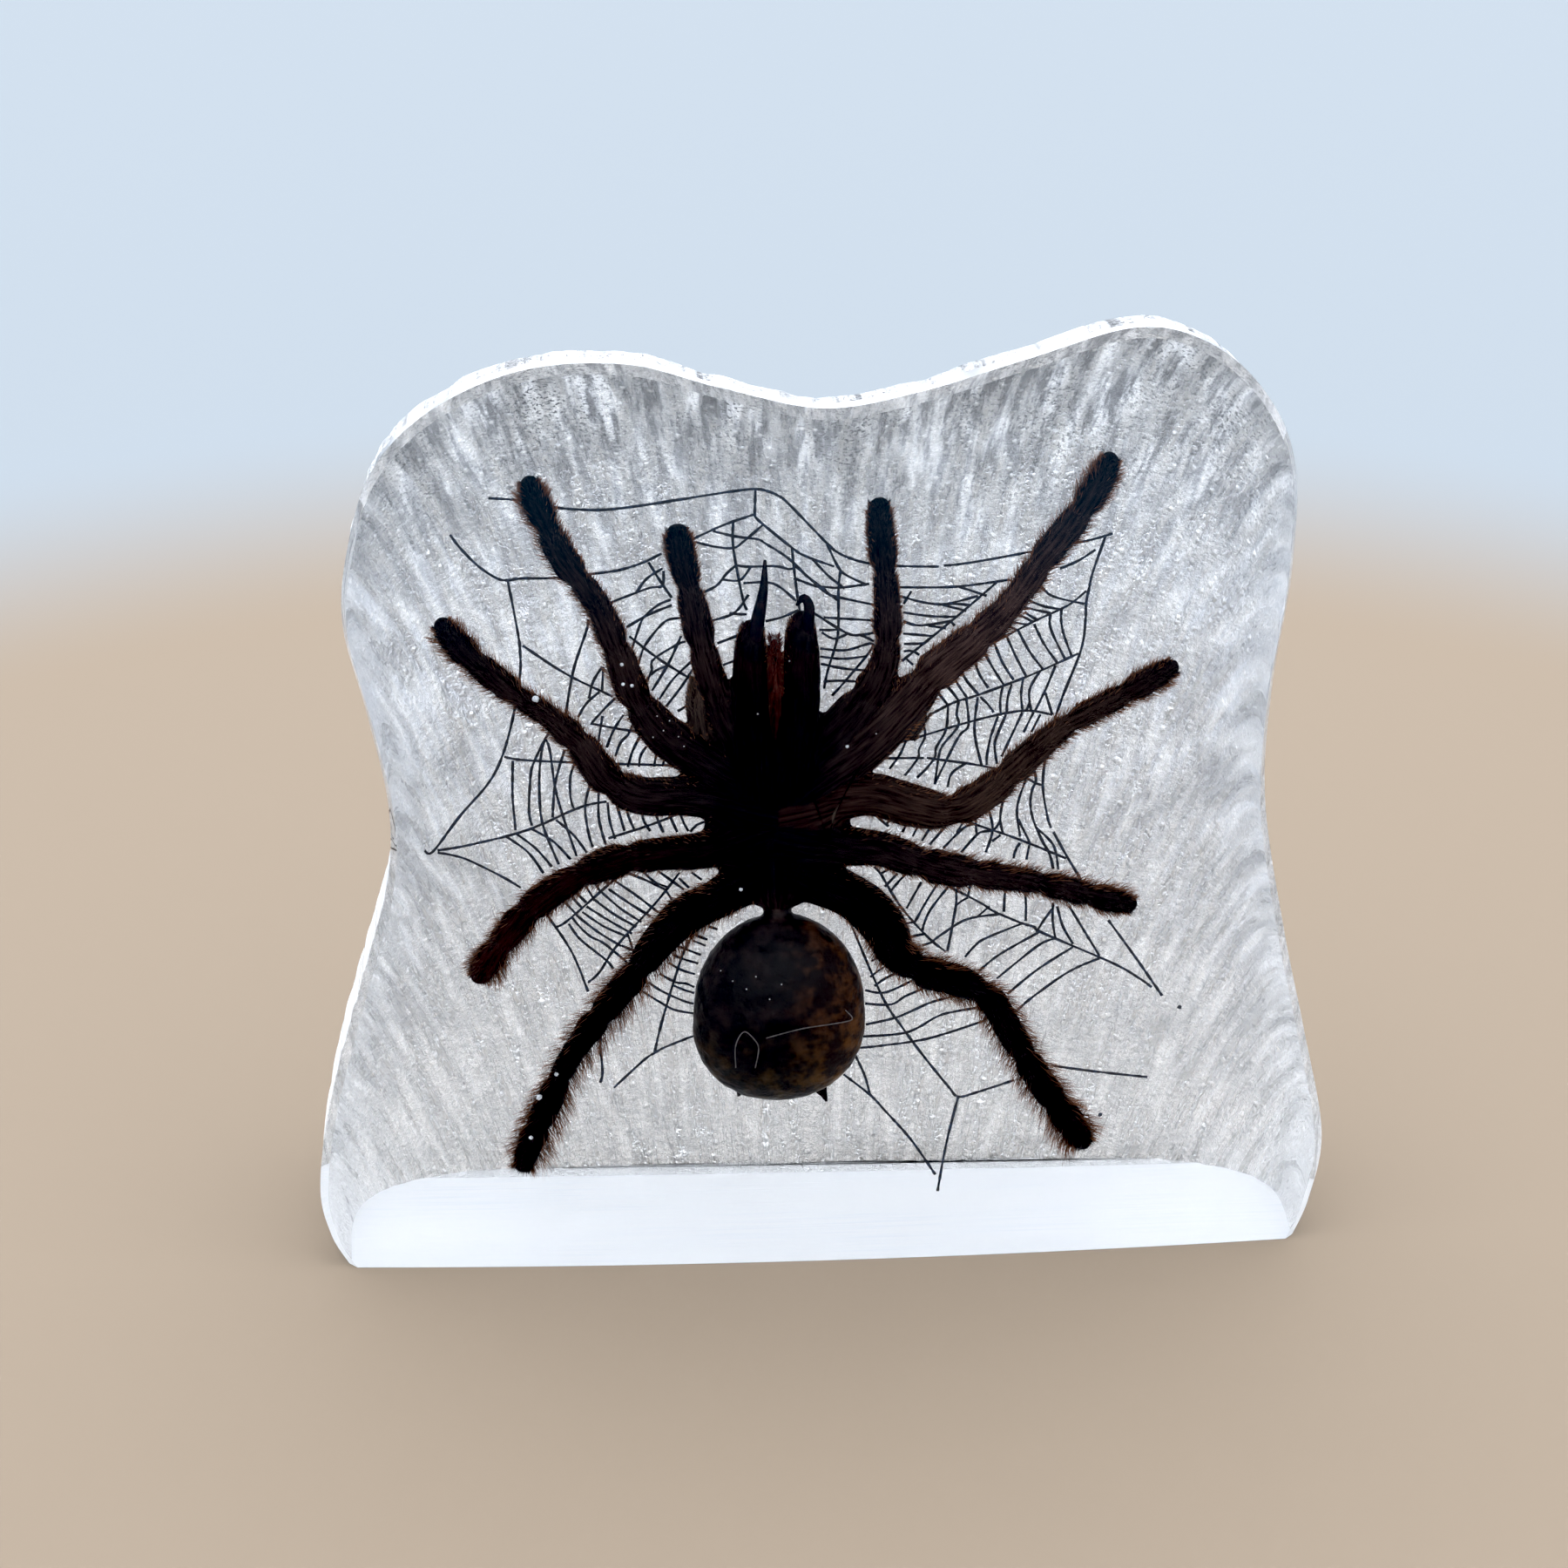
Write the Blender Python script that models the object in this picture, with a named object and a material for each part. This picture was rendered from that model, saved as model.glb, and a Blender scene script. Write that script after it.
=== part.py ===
"""A tarantula sealed in a clear resin block that is cast like a lump of ice.

Metres, +Z up. The polished front faces -Y, and +X is to the right of someone who looks at it.
The origin is on the ground base, in the middle of the block's bounds.

The resin was poured in two layers with a clear film between them, so the block is two halves
here: the specimen lies against the film in a pocket of the front half.
"""
import math

import bmesh
import bpy
from mathutils import Vector, noise

MM = 0.001

# The block
WIDTH = 0.120
HEIGHT = 0.117
DEPTH = 0.040
FRONT_BULGE = 0.002      # how far the polished front bows out in plan, between its side edges
BEVEL = 0.001            # flat polished off the edge round the front
RIM = 0.0035             # thickness of the block at its outline
TOP_TAPER = 0.30         # share of its depth that the block loses on the way to the top
TAPER_POWER = 1.5        # how late on the way up it loses it
SIDE_TAPER = 0.06        # share of its depth that it loses towards the right side
SIDE_FULLNESS = 4.0      # exponent of the back's curve at the base, where its sides are steep
TOP_FULLNESS = 2.0       # the same at the top, where it is rounder
RIDGE = 0.0006           # height of the frosty ridges that run in from the outline
RIDGES = (17, 29)        # how many of them there are along the outline, in two sets
SECOND_RIDGE = 0.7       # height of the second set over the first's
SECOND_SHIFT = 1.3       # and its start along the outline, in radians
LUMP = 0.0009            # height of the lumps between them
LUMP_SIZE = 0.012
SECTORS = 78             # faces along the outline
BACK_RINGS = (0.985, 0.95, 0.90, 0.83, 0.73, 0.61, 0.47, 0.31, 0.14)
FRONT_RINGS = (0.12, 0.55)

# The film and the parting of the two layers
FILM_DEPTH = 0.014       # from the front to the film
FILM_THICKNESS = 0.0002
FILM_LEFT = -0.048
FILM_RIGHT = 0.043
FILM_BOTTOM = 0.004
FILM_TOP = 0.0965
GAP = 0.0003             # between any two pieces
PARTING_Y = -DEPTH / 2 + FILM_DEPTH
FACE_Y = PARTING_Y - GAP / 2

# Outline of the block from the left end of the base, over the top, to the right end, in
# millimetres from the middle of the base, before it is scaled to WIDTH and HEIGHT
OUTLINE = (
    (-57.0, 0.0), (-59.0, 4.0), (-60.0, 10.5), (-58.3, 22.0), (-54.2, 37.0), (-50.6, 50.0),
    (-50.0, 60.0), (-52.0, 71.5), (-54.3, 82.5), (-53.4, 92.5), (-50.8, 102.0), (-45.0, 110.0),
    (-35.5, 114.2), (-25.0, 114.2), (-14.5, 111.0), (-2.5, 108.3), (8.5, 110.2), (20.0, 113.8),
    (31.5, 117.0), (40.0, 115.0), (47.8, 108.6), (52.4, 99.5), (52.6, 86.0), (51.0, 72.0),
    (50.9, 58.0), (54.0, 41.0), (57.0, 28.0), (59.9, 14.0), (58.8, 5.0), (57.0, 0.0),
)
OUTLINE_WIDTH = 120.0
OUTLINE_HEIGHT = 117.0
OUTLINE_STEPS = 1200     # short straight runs that the curve is measured by

# The specimen lies belly to the front, its back against the film. A limb is a run of places
# (x, z, lift, radius) in millimetres: x and z are across and up the block, lift is the distance
# of the limb's middle from the film, and radius is that of its skin, to which FUR adds the coat.
LIMBS = {
    "palp_left": (
        (-8.5, 63.5, 4.6, 2.4), (-11.6, 69.0, 4.8, 2.0), (-13.2, 74.5, 4.6, 1.75),
        (-14.5, 80.5, 3.9, 1.8), (-15.4, 85.0, 3.1, 1.5), (-16.2, 88.6, 2.4, 1.75),
        (-16.5, 90.9, 2.0, 1.2),
    ),
    "palp_right": (
        (-2.0, 63.0, 4.6, 2.6), (4.2, 70.0, 4.8, 2.4), (6.8, 74.8, 4.7, 1.8),
        (7.2, 80.0, 4.0, 1.6), (6.9, 85.4, 3.0, 1.45), (6.4, 90.0, 2.4, 1.65),
        (6.2, 93.7, 1.9, 1.2),
    ),
    "leg_1_left": (
        (-9.0, 60.5, 4.6, 3.0), (-14.0, 63.7, 5.0, 2.9), (-18.4, 67.0, 5.4, 2.5),
        (-21.6, 71.8, 5.4, 2.0), (-23.6, 77.6, 5.0, 1.8), (-25.6, 82.6, 4.3, 1.5),
        (-29.4, 88.2, 3.1, 1.7), (-31.0, 91.7, 2.5, 1.45), (-32.3, 94.8, 2.0, 1.6),
        (-32.9, 96.9, 1.8, 1.1),
    ),
    "leg_2_left": (
        (-9.0, 57.5, 4.4, 3.0), (-15.3, 58.9, 4.8, 2.5), (-21.3, 59.3, 5.2, 2.4),
        (-25.2, 61.8, 5.2, 2.1), (-27.9, 65.7, 4.9, 1.9), (-31.2, 68.9, 4.2, 1.45),
        (-35.0, 71.6, 3.4, 1.5), (-39.2, 75.2, 2.6, 1.7), (-42.0, 78.2, 2.0, 1.6),
        (-43.2, 80.0, 1.8, 1.1),
    ),
    "leg_3_left": (
        (-9.0, 54.0, 4.2, 2.8), (-13.5, 52.0, 4.6, 2.4), (-19.0, 51.7, 5.0, 2.1),
        (-24.5, 50.8, 5.0, 2.1), (-29.4, 48.4, 4.5, 1.8), (-33.4, 45.3, 3.9, 2.0),
        (-36.8, 41.2, 3.2, 1.8), (-39.2, 37.4, 2.3, 1.8), (-40.3, 35.4, 1.9, 1.2),
    ),
    "leg_4_left": (
        (-8.5, 48.0, 4.2, 3.0), (-12.4, 45.6, 4.6, 2.5), (-15.8, 44.0, 5.0, 2.5),
        (-19.0, 40.8, 5.2, 2.2), (-22.3, 36.0, 5.0, 1.8), (-25.9, 31.2, 4.6, 1.8),
        (-29.9, 25.0, 3.8, 1.45), (-32.4, 19.0, 3.0, 1.65), (-34.4, 14.2, 2.4, 1.7),
        (-35.9, 9.6, 1.9, 1.2),
    ),
    "leg_1_right": (
        (-2.0, 60.0, 4.6, 3.2), (4.6, 65.2, 5.0, 3.3), (9.2, 69.9, 5.4, 2.7),
        (12.9, 74.2, 5.5, 2.4), (17.0, 77.6, 5.2, 2.3), (21.2, 81.8, 4.6, 1.6),
        (25.0, 87.2, 3.6, 1.75), (28.8, 92.0, 2.7, 1.75), (31.2, 96.0, 2.1, 1.65),
        (32.2, 98.3, 1.8, 1.1),
    ),
    "leg_2_right": (
        (-2.0, 57.5, 4.4, 3.0), (5.0, 58.6, 4.8, 2.7), (10.1, 57.2, 5.2, 2.7),
        (14.8, 56.4, 5.3, 2.2), (19.5, 59.0, 5.0, 2.1), (24.0, 63.2, 4.5, 1.8),
        (28.2, 66.5, 3.7, 1.45), (33.2, 69.1, 2.9, 1.5), (37.8, 71.5, 2.2, 1.6),
        (40.2, 72.8, 1.8, 1.1),
    ),
    "leg_3_right": (
        (-3.0, 53.5, 4.2, 2.8), (2.6, 52.1, 4.6, 2.5), (6.8, 51.6, 5.0, 2.2),
        (11.2, 49.8, 5.1, 2.1), (15.6, 48.6, 4.9, 2.1), (20.4, 47.5, 4.3, 1.7),
        (25.0, 46.4, 3.5, 1.5), (29.8, 44.8, 2.8, 1.65), (33.8, 43.5, 2.2, 1.6),
        (36.4, 42.5, 1.9, 1.1),
    ),
    "leg_4_right": (
        (-3.0, 48.5, 4.2, 3.0), (3.2, 45.6, 4.6, 2.8), (6.8, 42.0, 5.0, 2.8),
        (8.6, 38.2, 5.2, 2.3), (12.0, 35.7, 5.2, 2.1), (16.0, 34.2, 5.0, 2.0),
        (19.6, 31.8, 4.6, 1.7), (22.2, 27.2, 4.0, 1.75), (25.3, 21.3, 3.1, 1.7),
        (28.3, 16.4, 2.5, 1.85), (30.6, 12.8, 2.1, 1.7), (31.7, 10.8, 1.8, 1.1),
    ),
    "chelicera_left": (
        (-8.0, 62.0, 5.6, 2.6), (-8.4, 68.0, 6.0, 2.3), (-8.5, 74.5, 6.0, 2.1),
        (-8.4, 78.6, 5.6, 1.7), (-8.3, 80.0, 5.4, 1.0),
    ),
    "chelicera_right": (
        (-3.4, 62.0, 5.6, 2.6), (-3.0, 68.0, 6.0, 2.4), (-2.7, 74.5, 6.0, 2.25),
        (-2.7, 79.2, 5.6, 1.8), (-2.7, 80.8, 5.4, 1.1),
    ),
    "fang_left": (
        (-8.1, 77.5, 6.2, 0.9), (-7.7, 80.6, 6.6, 0.85), (-7.0, 84.6, 6.6, 0.55),
        (-6.8, 88.0, 6.2, 0.2),
    ),
    "fang_right": (
        (-2.2, 78.5, 6.2, 0.8), (-1.9, 81.2, 6.8, 0.7), (-1.9, 82.8, 7.0, 0.6),
        (-2.5, 83.7, 7.0, 0.5), (-3.2, 82.9, 7.0, 0.2),
    ),
    "waist": (
        (-5.6, 48.0, 4.2, 2.2), (-5.4, 43.8, 4.2, 1.6), (-5.2, 40.0, 4.6, 2.2),
    ),
    "spinneret_left": (
        (-8.6, 24.0, 4.0, 1.3), (-9.3, 21.2, 3.6, 0.9), (-10.1, 19.1, 3.2, 0.35),
    ),
    "spinneret_right": (
        (-1.4, 24.0, 4.0, 1.3), (-0.4, 20.6, 3.6, 0.9), (0.5, 18.2, 3.2, 0.35),
    ),
}

# How far the coat of hair stands out from a limb's skin, in millimetres
FUR = {
    "palp": 0.25, "leg_1": 0.35, "leg_2": 0.35, "leg_3": 0.5, "leg_4": 0.9,
}
TIP_LENGTH = 0.6            # a limb's blunt tip, in radii of its end
TIP_RADIUS = 0.55

# The two body parts: middle (x, z, lift), half sizes across, up and towards the front, and how
# much fuller the jaw end and the far end are than an ellipsoid's
CARAPACE = ((-5.6, 57.2, 4.0), (7.4, 13.2, 4.4), (0.30, 0.05))
ABDOMEN = ((-5.2, 31.3, 4.7), (10.1, 12.3, 5.4), (0.0, 0.16))
BODY_SECTORS = 16
BODY_RINGS = 9
LIMB_CIRCLE = 2             # bevel resolution of a limb: eight sides
POCKET_CIRCLE = 1           # and of its pocket: six sides
SIX_SIDES_LOSE = 1.155      # a six-sided tube's corners over its flats
POCKET_ROOM = 0.0004        # resin stands off the specimen by at least GAP
LIMB_STEPS = 1              # rings from one place of a limb to the next
WELD = 0.000002             # points of a limb's tube closer than this are one

# Finishes, and the angles in degrees up to which a solid is shaded smooth
RESIN_IOR = 1.5
FRONT_ANGLE = 25
BACK_ANGLE = 30
HIDE_ANGLE = 50


def material(name, colour, roughness, transmission=0.0):
    """A plain finish for one piece."""
    finish = bpy.data.materials.new(name)
    finish.use_nodes = True
    shader = finish.node_tree.nodes["Principled BSDF"]
    shader.inputs["Base Color"].default_value = colour
    shader.inputs["Roughness"].default_value = roughness
    shader.inputs["Metallic"].default_value = 0.0
    shader.inputs["Transmission Weight"].default_value = transmission
    shader.inputs["IOR"].default_value = RESIN_IOR
    finish.diffuse_color = colour
    return finish


def add_object(name, mesh):
    """Puts a mesh into the scene as a named object."""
    thing = bpy.data.objects.new(name, mesh)
    bpy.context.scene.collection.objects.link(thing)
    return thing


def drop_crumbs(bm):
    """Keeps the largest body of a mesh, for cuts can leave specks of resin between limbs."""
    bodies = []
    left = set(bm.faces)
    while left:
        body = [left.pop()]
        for face in body:
            near = {other for edge in face.edges for other in edge.link_faces} & left
            left -= near
            body.extend(near)
        bodies.append(body)
    bodies.sort(key=len)
    crumbs = [face for body in bodies[:-1] for face in body]
    bmesh.ops.delete(bm, geom=crumbs, context="FACES")


def mesh_from(name, bm):
    """Turns a bmesh into a mesh of triangles with its faces outwards."""
    bmesh.ops.recalc_face_normals(bm, faces=bm.faces)
    bmesh.ops.triangulate(bm, faces=bm.faces)
    mesh = bpy.data.meshes.new(name)
    bm.to_mesh(mesh)
    bm.free()
    return mesh


def combine(target, other, operation):
    """Unites, cuts or intersects one object with another, which is then removed."""
    cut = target.modifiers.new("combine", "BOOLEAN")
    cut.operation = operation
    cut.solver = "EXACT"
    cut.object = other
    evaluated = target.evaluated_get(bpy.context.evaluated_depsgraph_get())
    mesh = bpy.data.meshes.new_from_object(evaluated)
    target.modifiers.clear()
    target.data = mesh
    bpy.data.objects.remove(other)


def slab(name, low, high):
    """A plain box between two corners, to cut with."""
    bm = bmesh.new()
    bmesh.ops.create_cube(bm, size=1.0)
    size = Vector(high) - Vector(low)
    middle = (Vector(high) + Vector(low)) / 2
    bmesh.ops.scale(bm, vec=size, verts=bm.verts)
    bmesh.ops.translate(bm, vec=middle, verts=bm.verts)
    return add_object(name, mesh_from(name, bm))


def spline(points, share):
    """Point of a Catmull-Rom curve, which passes through all of its points; share is 0 to 1."""
    along = share * (len(points) - 1)
    index = min(int(along), len(points) - 2)
    t = along - index
    before = points[max(index - 1, 0)]
    start = points[index]
    end = points[index + 1]
    after = points[min(index + 2, len(points) - 1)]
    return 0.5 * (
        2 * start
        + (end - before) * t
        + (2 * before - 5 * start + 4 * end - after) * t ** 2
        + (3 * start - before - 3 * end + after) * t ** 3
    )


def even_outline(count):
    """Points at even distances along the block's smooth outline, as (x, z)."""
    scale_x = WIDTH / OUTLINE_WIDTH
    scale_z = HEIGHT / OUTLINE_HEIGHT
    corners = [Vector((x * scale_x, z * scale_z)) for x, z in OUTLINE]
    fine = [spline(corners, i / OUTLINE_STEPS) for i in range(OUTLINE_STEPS + 1)]
    reach = [0.0]
    for start, end in zip(fine, fine[1:]):
        reach.append(reach[-1] + (end - start).length)
    points = []
    index = 0
    for step in range(count + 1):
        goal = reach[-1] * step / count
        while index < len(reach) - 2 and reach[index + 1] < goal:
            index += 1
        part = (goal - reach[index]) / (reach[index + 1] - reach[index])
        points.append(fine[index].lerp(fine[index + 1], part))
    points[0].y = 0.0
    points[-1].y = 0.0
    return points


def front_y(x):
    """Depth of the polished front at x."""
    return -DEPTH / 2 + FRONT_BULGE * (2 * x / WIDTH) ** 2


def inward(point, share):
    """Moves an outline point in towards a spine that runs up the middle to half height."""
    return Vector((point.x * share, point.y * (1 + share) / 2))


def relief(point, turn, share):
    """Ridges that run in from the outline, and lumps between them, on the frosty back."""
    first, second = RIDGES
    circle = 2 * math.pi * turn
    ridges = math.sin(first * circle) + SECOND_RIDGE * math.sin(second * circle + SECOND_SHIFT)
    lumps = noise.noise(Vector((point.x, point.y, 0.0)) / LUMP_SIZE)
    return RIDGE * ridges * share ** 3 + LUMP * lumps


def back_y(point, turn, share):
    """Depth of the back at a share of the way out from the spine, turn of the way round."""
    rise = math.sin(math.pi * turn)
    fullness = SIDE_FULLNESS + (TOP_FULLNESS - SIDE_FULLNESS) * rise ** 2
    upwards = 1 - TOP_TAPER * (point.y / HEIGHT) ** TAPER_POWER
    taper = upwards * (1 - SIDE_TAPER * 2 * point.x / WIDTH)
    dome = (1 - share ** fullness) ** (1 / fullness)
    depth = ((DEPTH - LUMP) * taper - RIM) * dome
    return front_y(point.x) + RIM + depth + relief(point, turn, share) * dome


def block_shell():
    """The whole block as one closed shell: front, bevel, rim, frosty back and flat base."""
    outline = even_outline(SECTORS)
    rows = []
    for share in FRONT_RINGS:
        rows.append([(p.x, front_y(p.x), p.y) for p in (inward(q, share) for q in outline)])
    rows.append([(p.x, front_y(p.x), p.y) for p in (q * (1 - BEVEL / q.length) for q in outline)])
    rows.append([(p.x, front_y(p.x) + BEVEL, p.y) for p in outline])
    rows.append([(p.x, front_y(p.x) + RIM, p.y) for p in outline])
    for share in BACK_RINGS:
        row = [inward(p, share) for p in outline]
        rows.append([(p.x, back_y(p, i / SECTORS, share), p.y) for i, p in enumerate(row)])
    bm = bmesh.new()
    grid = [[bm.verts.new(point) for point in row] for row in rows]
    for lower, upper in zip(grid, grid[1:]):
        for i in range(SECTORS):
            bm.faces.new((lower[i], lower[i + 1], upper[i + 1], upper[i]))
    bm.faces.new(list(reversed(grid[0])))
    bm.faces.new(grid[-1])
    bm.faces.new([row[0] for row in grid] + [row[-1] for row in reversed(grid)])
    return add_object("block_shell", mesh_from("block_shell", bm))


def place(x, z, lift):
    """Turns across, up and lift from the film, in millimetres, into a point of the block."""
    return Vector((x * MM, FACE_Y - lift * MM, z * MM))


def limb(name, places, circle, grow, room):
    """A limb as a tapering tube through its places, with closed ends."""
    curve = bpy.data.curves.new(name, "CURVE")
    curve.dimensions = "3D"
    curve.bevel_depth = 1.0
    curve.bevel_resolution = circle
    curve.resolution_u = LIMB_STEPS
    curve.use_fill_caps = True
    coat = max([depth for kind, depth in FUR.items() if name.startswith(kind)], default=0.0)
    stations = [(place(x, z, lift), (radius + coat) * MM) for x, z, lift, radius in places]
    (before, _), (end, radius) = stations[-2:]
    blunt = (end - before).normalized() * (TIP_LENGTH * radius + room)
    stations.append((end + blunt, radius * TIP_RADIUS))
    run = curve.splines.new("BEZIER")
    run.bezier_points.add(len(stations) - 1)
    for knot, (point, radius) in zip(run.bezier_points, stations):
        knot.co = point
        knot.radius = radius * grow + room
        knot.handle_left_type = "AUTO"
        knot.handle_right_type = "AUTO"
    guide = bpy.data.objects.new(name, curve)
    bpy.context.scene.collection.objects.link(guide)
    evaluated = guide.evaluated_get(bpy.context.evaluated_depsgraph_get())
    mesh = bpy.data.meshes.new_from_object(evaluated)
    bpy.data.objects.remove(guide)
    bm = bmesh.new()
    bm.from_mesh(mesh)
    bmesh.ops.remove_doubles(bm, verts=bm.verts, dist=WELD)
    return add_object(name, mesh_from(name, bm))


def body_part(name, middle, half, fullness, room):
    """An egg-shaped part of the body, with fuller ends."""
    bm = bmesh.new()
    bmesh.ops.create_uvsphere(bm, u_segments=BODY_SECTORS, v_segments=BODY_RINGS, radius=1.0)
    across, up, deep = (value * MM + room for value in half)
    for vert in bm.verts:
        fuller = 1 + fullness[0 if vert.co.z > 0 else 1] * abs(vert.co.z)
        vert.co.x *= across * fuller
        vert.co.y *= deep
        vert.co.z *= up
    bmesh.ops.translate(bm, vec=place(*middle), verts=bm.verts)
    return add_object(name, mesh_from(name, bm))


def specimen(name, circle, grow, room):
    """The whole tarantula in one solid; with room, the hollow that it leaves in the resin."""
    whole = body_part(name, *CARAPACE, room)
    combine(whole, body_part("abdomen", *ABDOMEN, room), "UNION")
    for part, places in LIMBS.items():
        combine(whole, limb(part, places, circle, grow, room), "UNION")
    return whole


def finish_solid(thing, finish, angle):
    """Gives a solid its material and smooth shading up to an angle, in degrees."""
    bm = bmesh.new()
    bm.from_mesh(thing.data)
    drop_crumbs(bm)
    thing.data = mesh_from(thing.name, bm)
    thing.data.materials.append(finish)
    thing.data.shade_smooth()
    thing.data.set_sharp_from_angle(angle=math.radians(angle))


def build():
    """Makes the four pieces: two halves of resin, the film and the tarantula."""
    for old in list(bpy.data.objects):
        bpy.data.objects.remove(old)

    resin = material("clear_resin", (0.90, 0.93, 0.95, 1.0), 0.05, transmission=1.0)
    frosted = material("frosted_resin", (0.86, 0.89, 0.92, 1.0), 0.30, transmission=1.0)
    film_clear = material("clear_film", (0.85, 0.88, 0.92, 1.0), 0.10, transmission=1.0)
    hide = material("dark_hair", (0.030, 0.022, 0.020, 1.0), 0.75)

    behind = PARTING_Y + GAP / 2
    front_low, front_high = (-WIDTH, -DEPTH, -DEPTH), (WIDTH, FACE_Y, 2 * WIDTH)
    front = block_shell()
    front.name = "block_front"
    back = add_object("block_back", front.data.copy())
    combine(front, slab("front_side", front_low, front_high), "INTERSECT")
    combine(back, slab("back_side", (-WIDTH, behind, -DEPTH), (WIDTH, DEPTH, 2 * WIDTH)), "INTERSECT")

    recess_low = (FILM_LEFT - GAP, PARTING_Y, FILM_BOTTOM - GAP)
    recess_high = (FILM_RIGHT + GAP, behind + FILM_THICKNESS + GAP, FILM_TOP + GAP)
    combine(back, slab("recess", recess_low, recess_high), "DIFFERENCE")
    film = slab(
        "web_film",
        (FILM_LEFT, behind, FILM_BOTTOM),
        (FILM_RIGHT, behind + FILM_THICKNESS, FILM_TOP),
    )

    hollow = specimen("hollow", POCKET_CIRCLE, SIX_SIDES_LOSE, POCKET_ROOM)
    combine(front, hollow, "DIFFERENCE")
    tarantula = specimen("tarantula", LIMB_CIRCLE, 1.0, 0.0)
    combine(tarantula, slab("front_room", front_low, front_high), "INTERSECT")

    finish_solid(front, resin, FRONT_ANGLE)
    finish_solid(back, frosted, BACK_ANGLE)
    finish_solid(film, film_clear, FRONT_ANGLE)
    finish_solid(tarantula, hide, HIDE_ANGLE)


build()
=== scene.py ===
"""Looks of a tarantula sealed in a clear resin block that is cast like a lump of ice.

Metres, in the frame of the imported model: +Z is up, the polished front faces -Y, +X is to the
right of someone who looks at it, and the origin is on the ground base. The sizes that say where
the solids are repeat those of the part's source.
"""

import logging
import math
import random
import sys
from collections.abc import Iterable, Sequence
from dataclasses import dataclass
from enum import Enum

import bmesh
import bpy
import numpy as np
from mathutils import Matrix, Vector, kdtree, noise


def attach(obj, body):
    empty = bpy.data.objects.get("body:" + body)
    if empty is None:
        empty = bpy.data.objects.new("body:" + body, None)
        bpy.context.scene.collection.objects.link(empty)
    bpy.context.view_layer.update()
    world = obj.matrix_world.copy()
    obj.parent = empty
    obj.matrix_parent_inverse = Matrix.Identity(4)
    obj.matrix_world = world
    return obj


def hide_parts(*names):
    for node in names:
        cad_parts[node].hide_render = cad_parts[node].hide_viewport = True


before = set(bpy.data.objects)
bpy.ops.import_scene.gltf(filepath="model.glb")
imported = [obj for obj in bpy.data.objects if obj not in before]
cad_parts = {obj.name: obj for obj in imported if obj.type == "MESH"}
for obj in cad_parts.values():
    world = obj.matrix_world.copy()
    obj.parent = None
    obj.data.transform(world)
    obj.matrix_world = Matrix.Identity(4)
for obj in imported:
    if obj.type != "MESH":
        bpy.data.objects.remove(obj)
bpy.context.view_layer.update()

MM = 0.001
BODY = "root"

# The block and the layers in it, as in the part's source
WIDTH = 0.120
HEIGHT = 0.117
DEPTH = 0.040
FRONT_BULGE = 0.002
FACE_Y = -0.00615
FILM_FRONT = -0.00585

log = logging.getLogger("tarantula block")

Colour = tuple[float, float, float]
Stops = Sequence[tuple[float, Colour]]


class Where(Enum):
    """Coordinates that a pattern follows."""

    OBJECT = "Object"
    UV = "UV"


class Maths(Enum):
    """Sums that a material does with two numbers."""

    ADD = "ADD"
    TAKE = "SUBTRACT"
    TIMES = "MULTIPLY"


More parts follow.
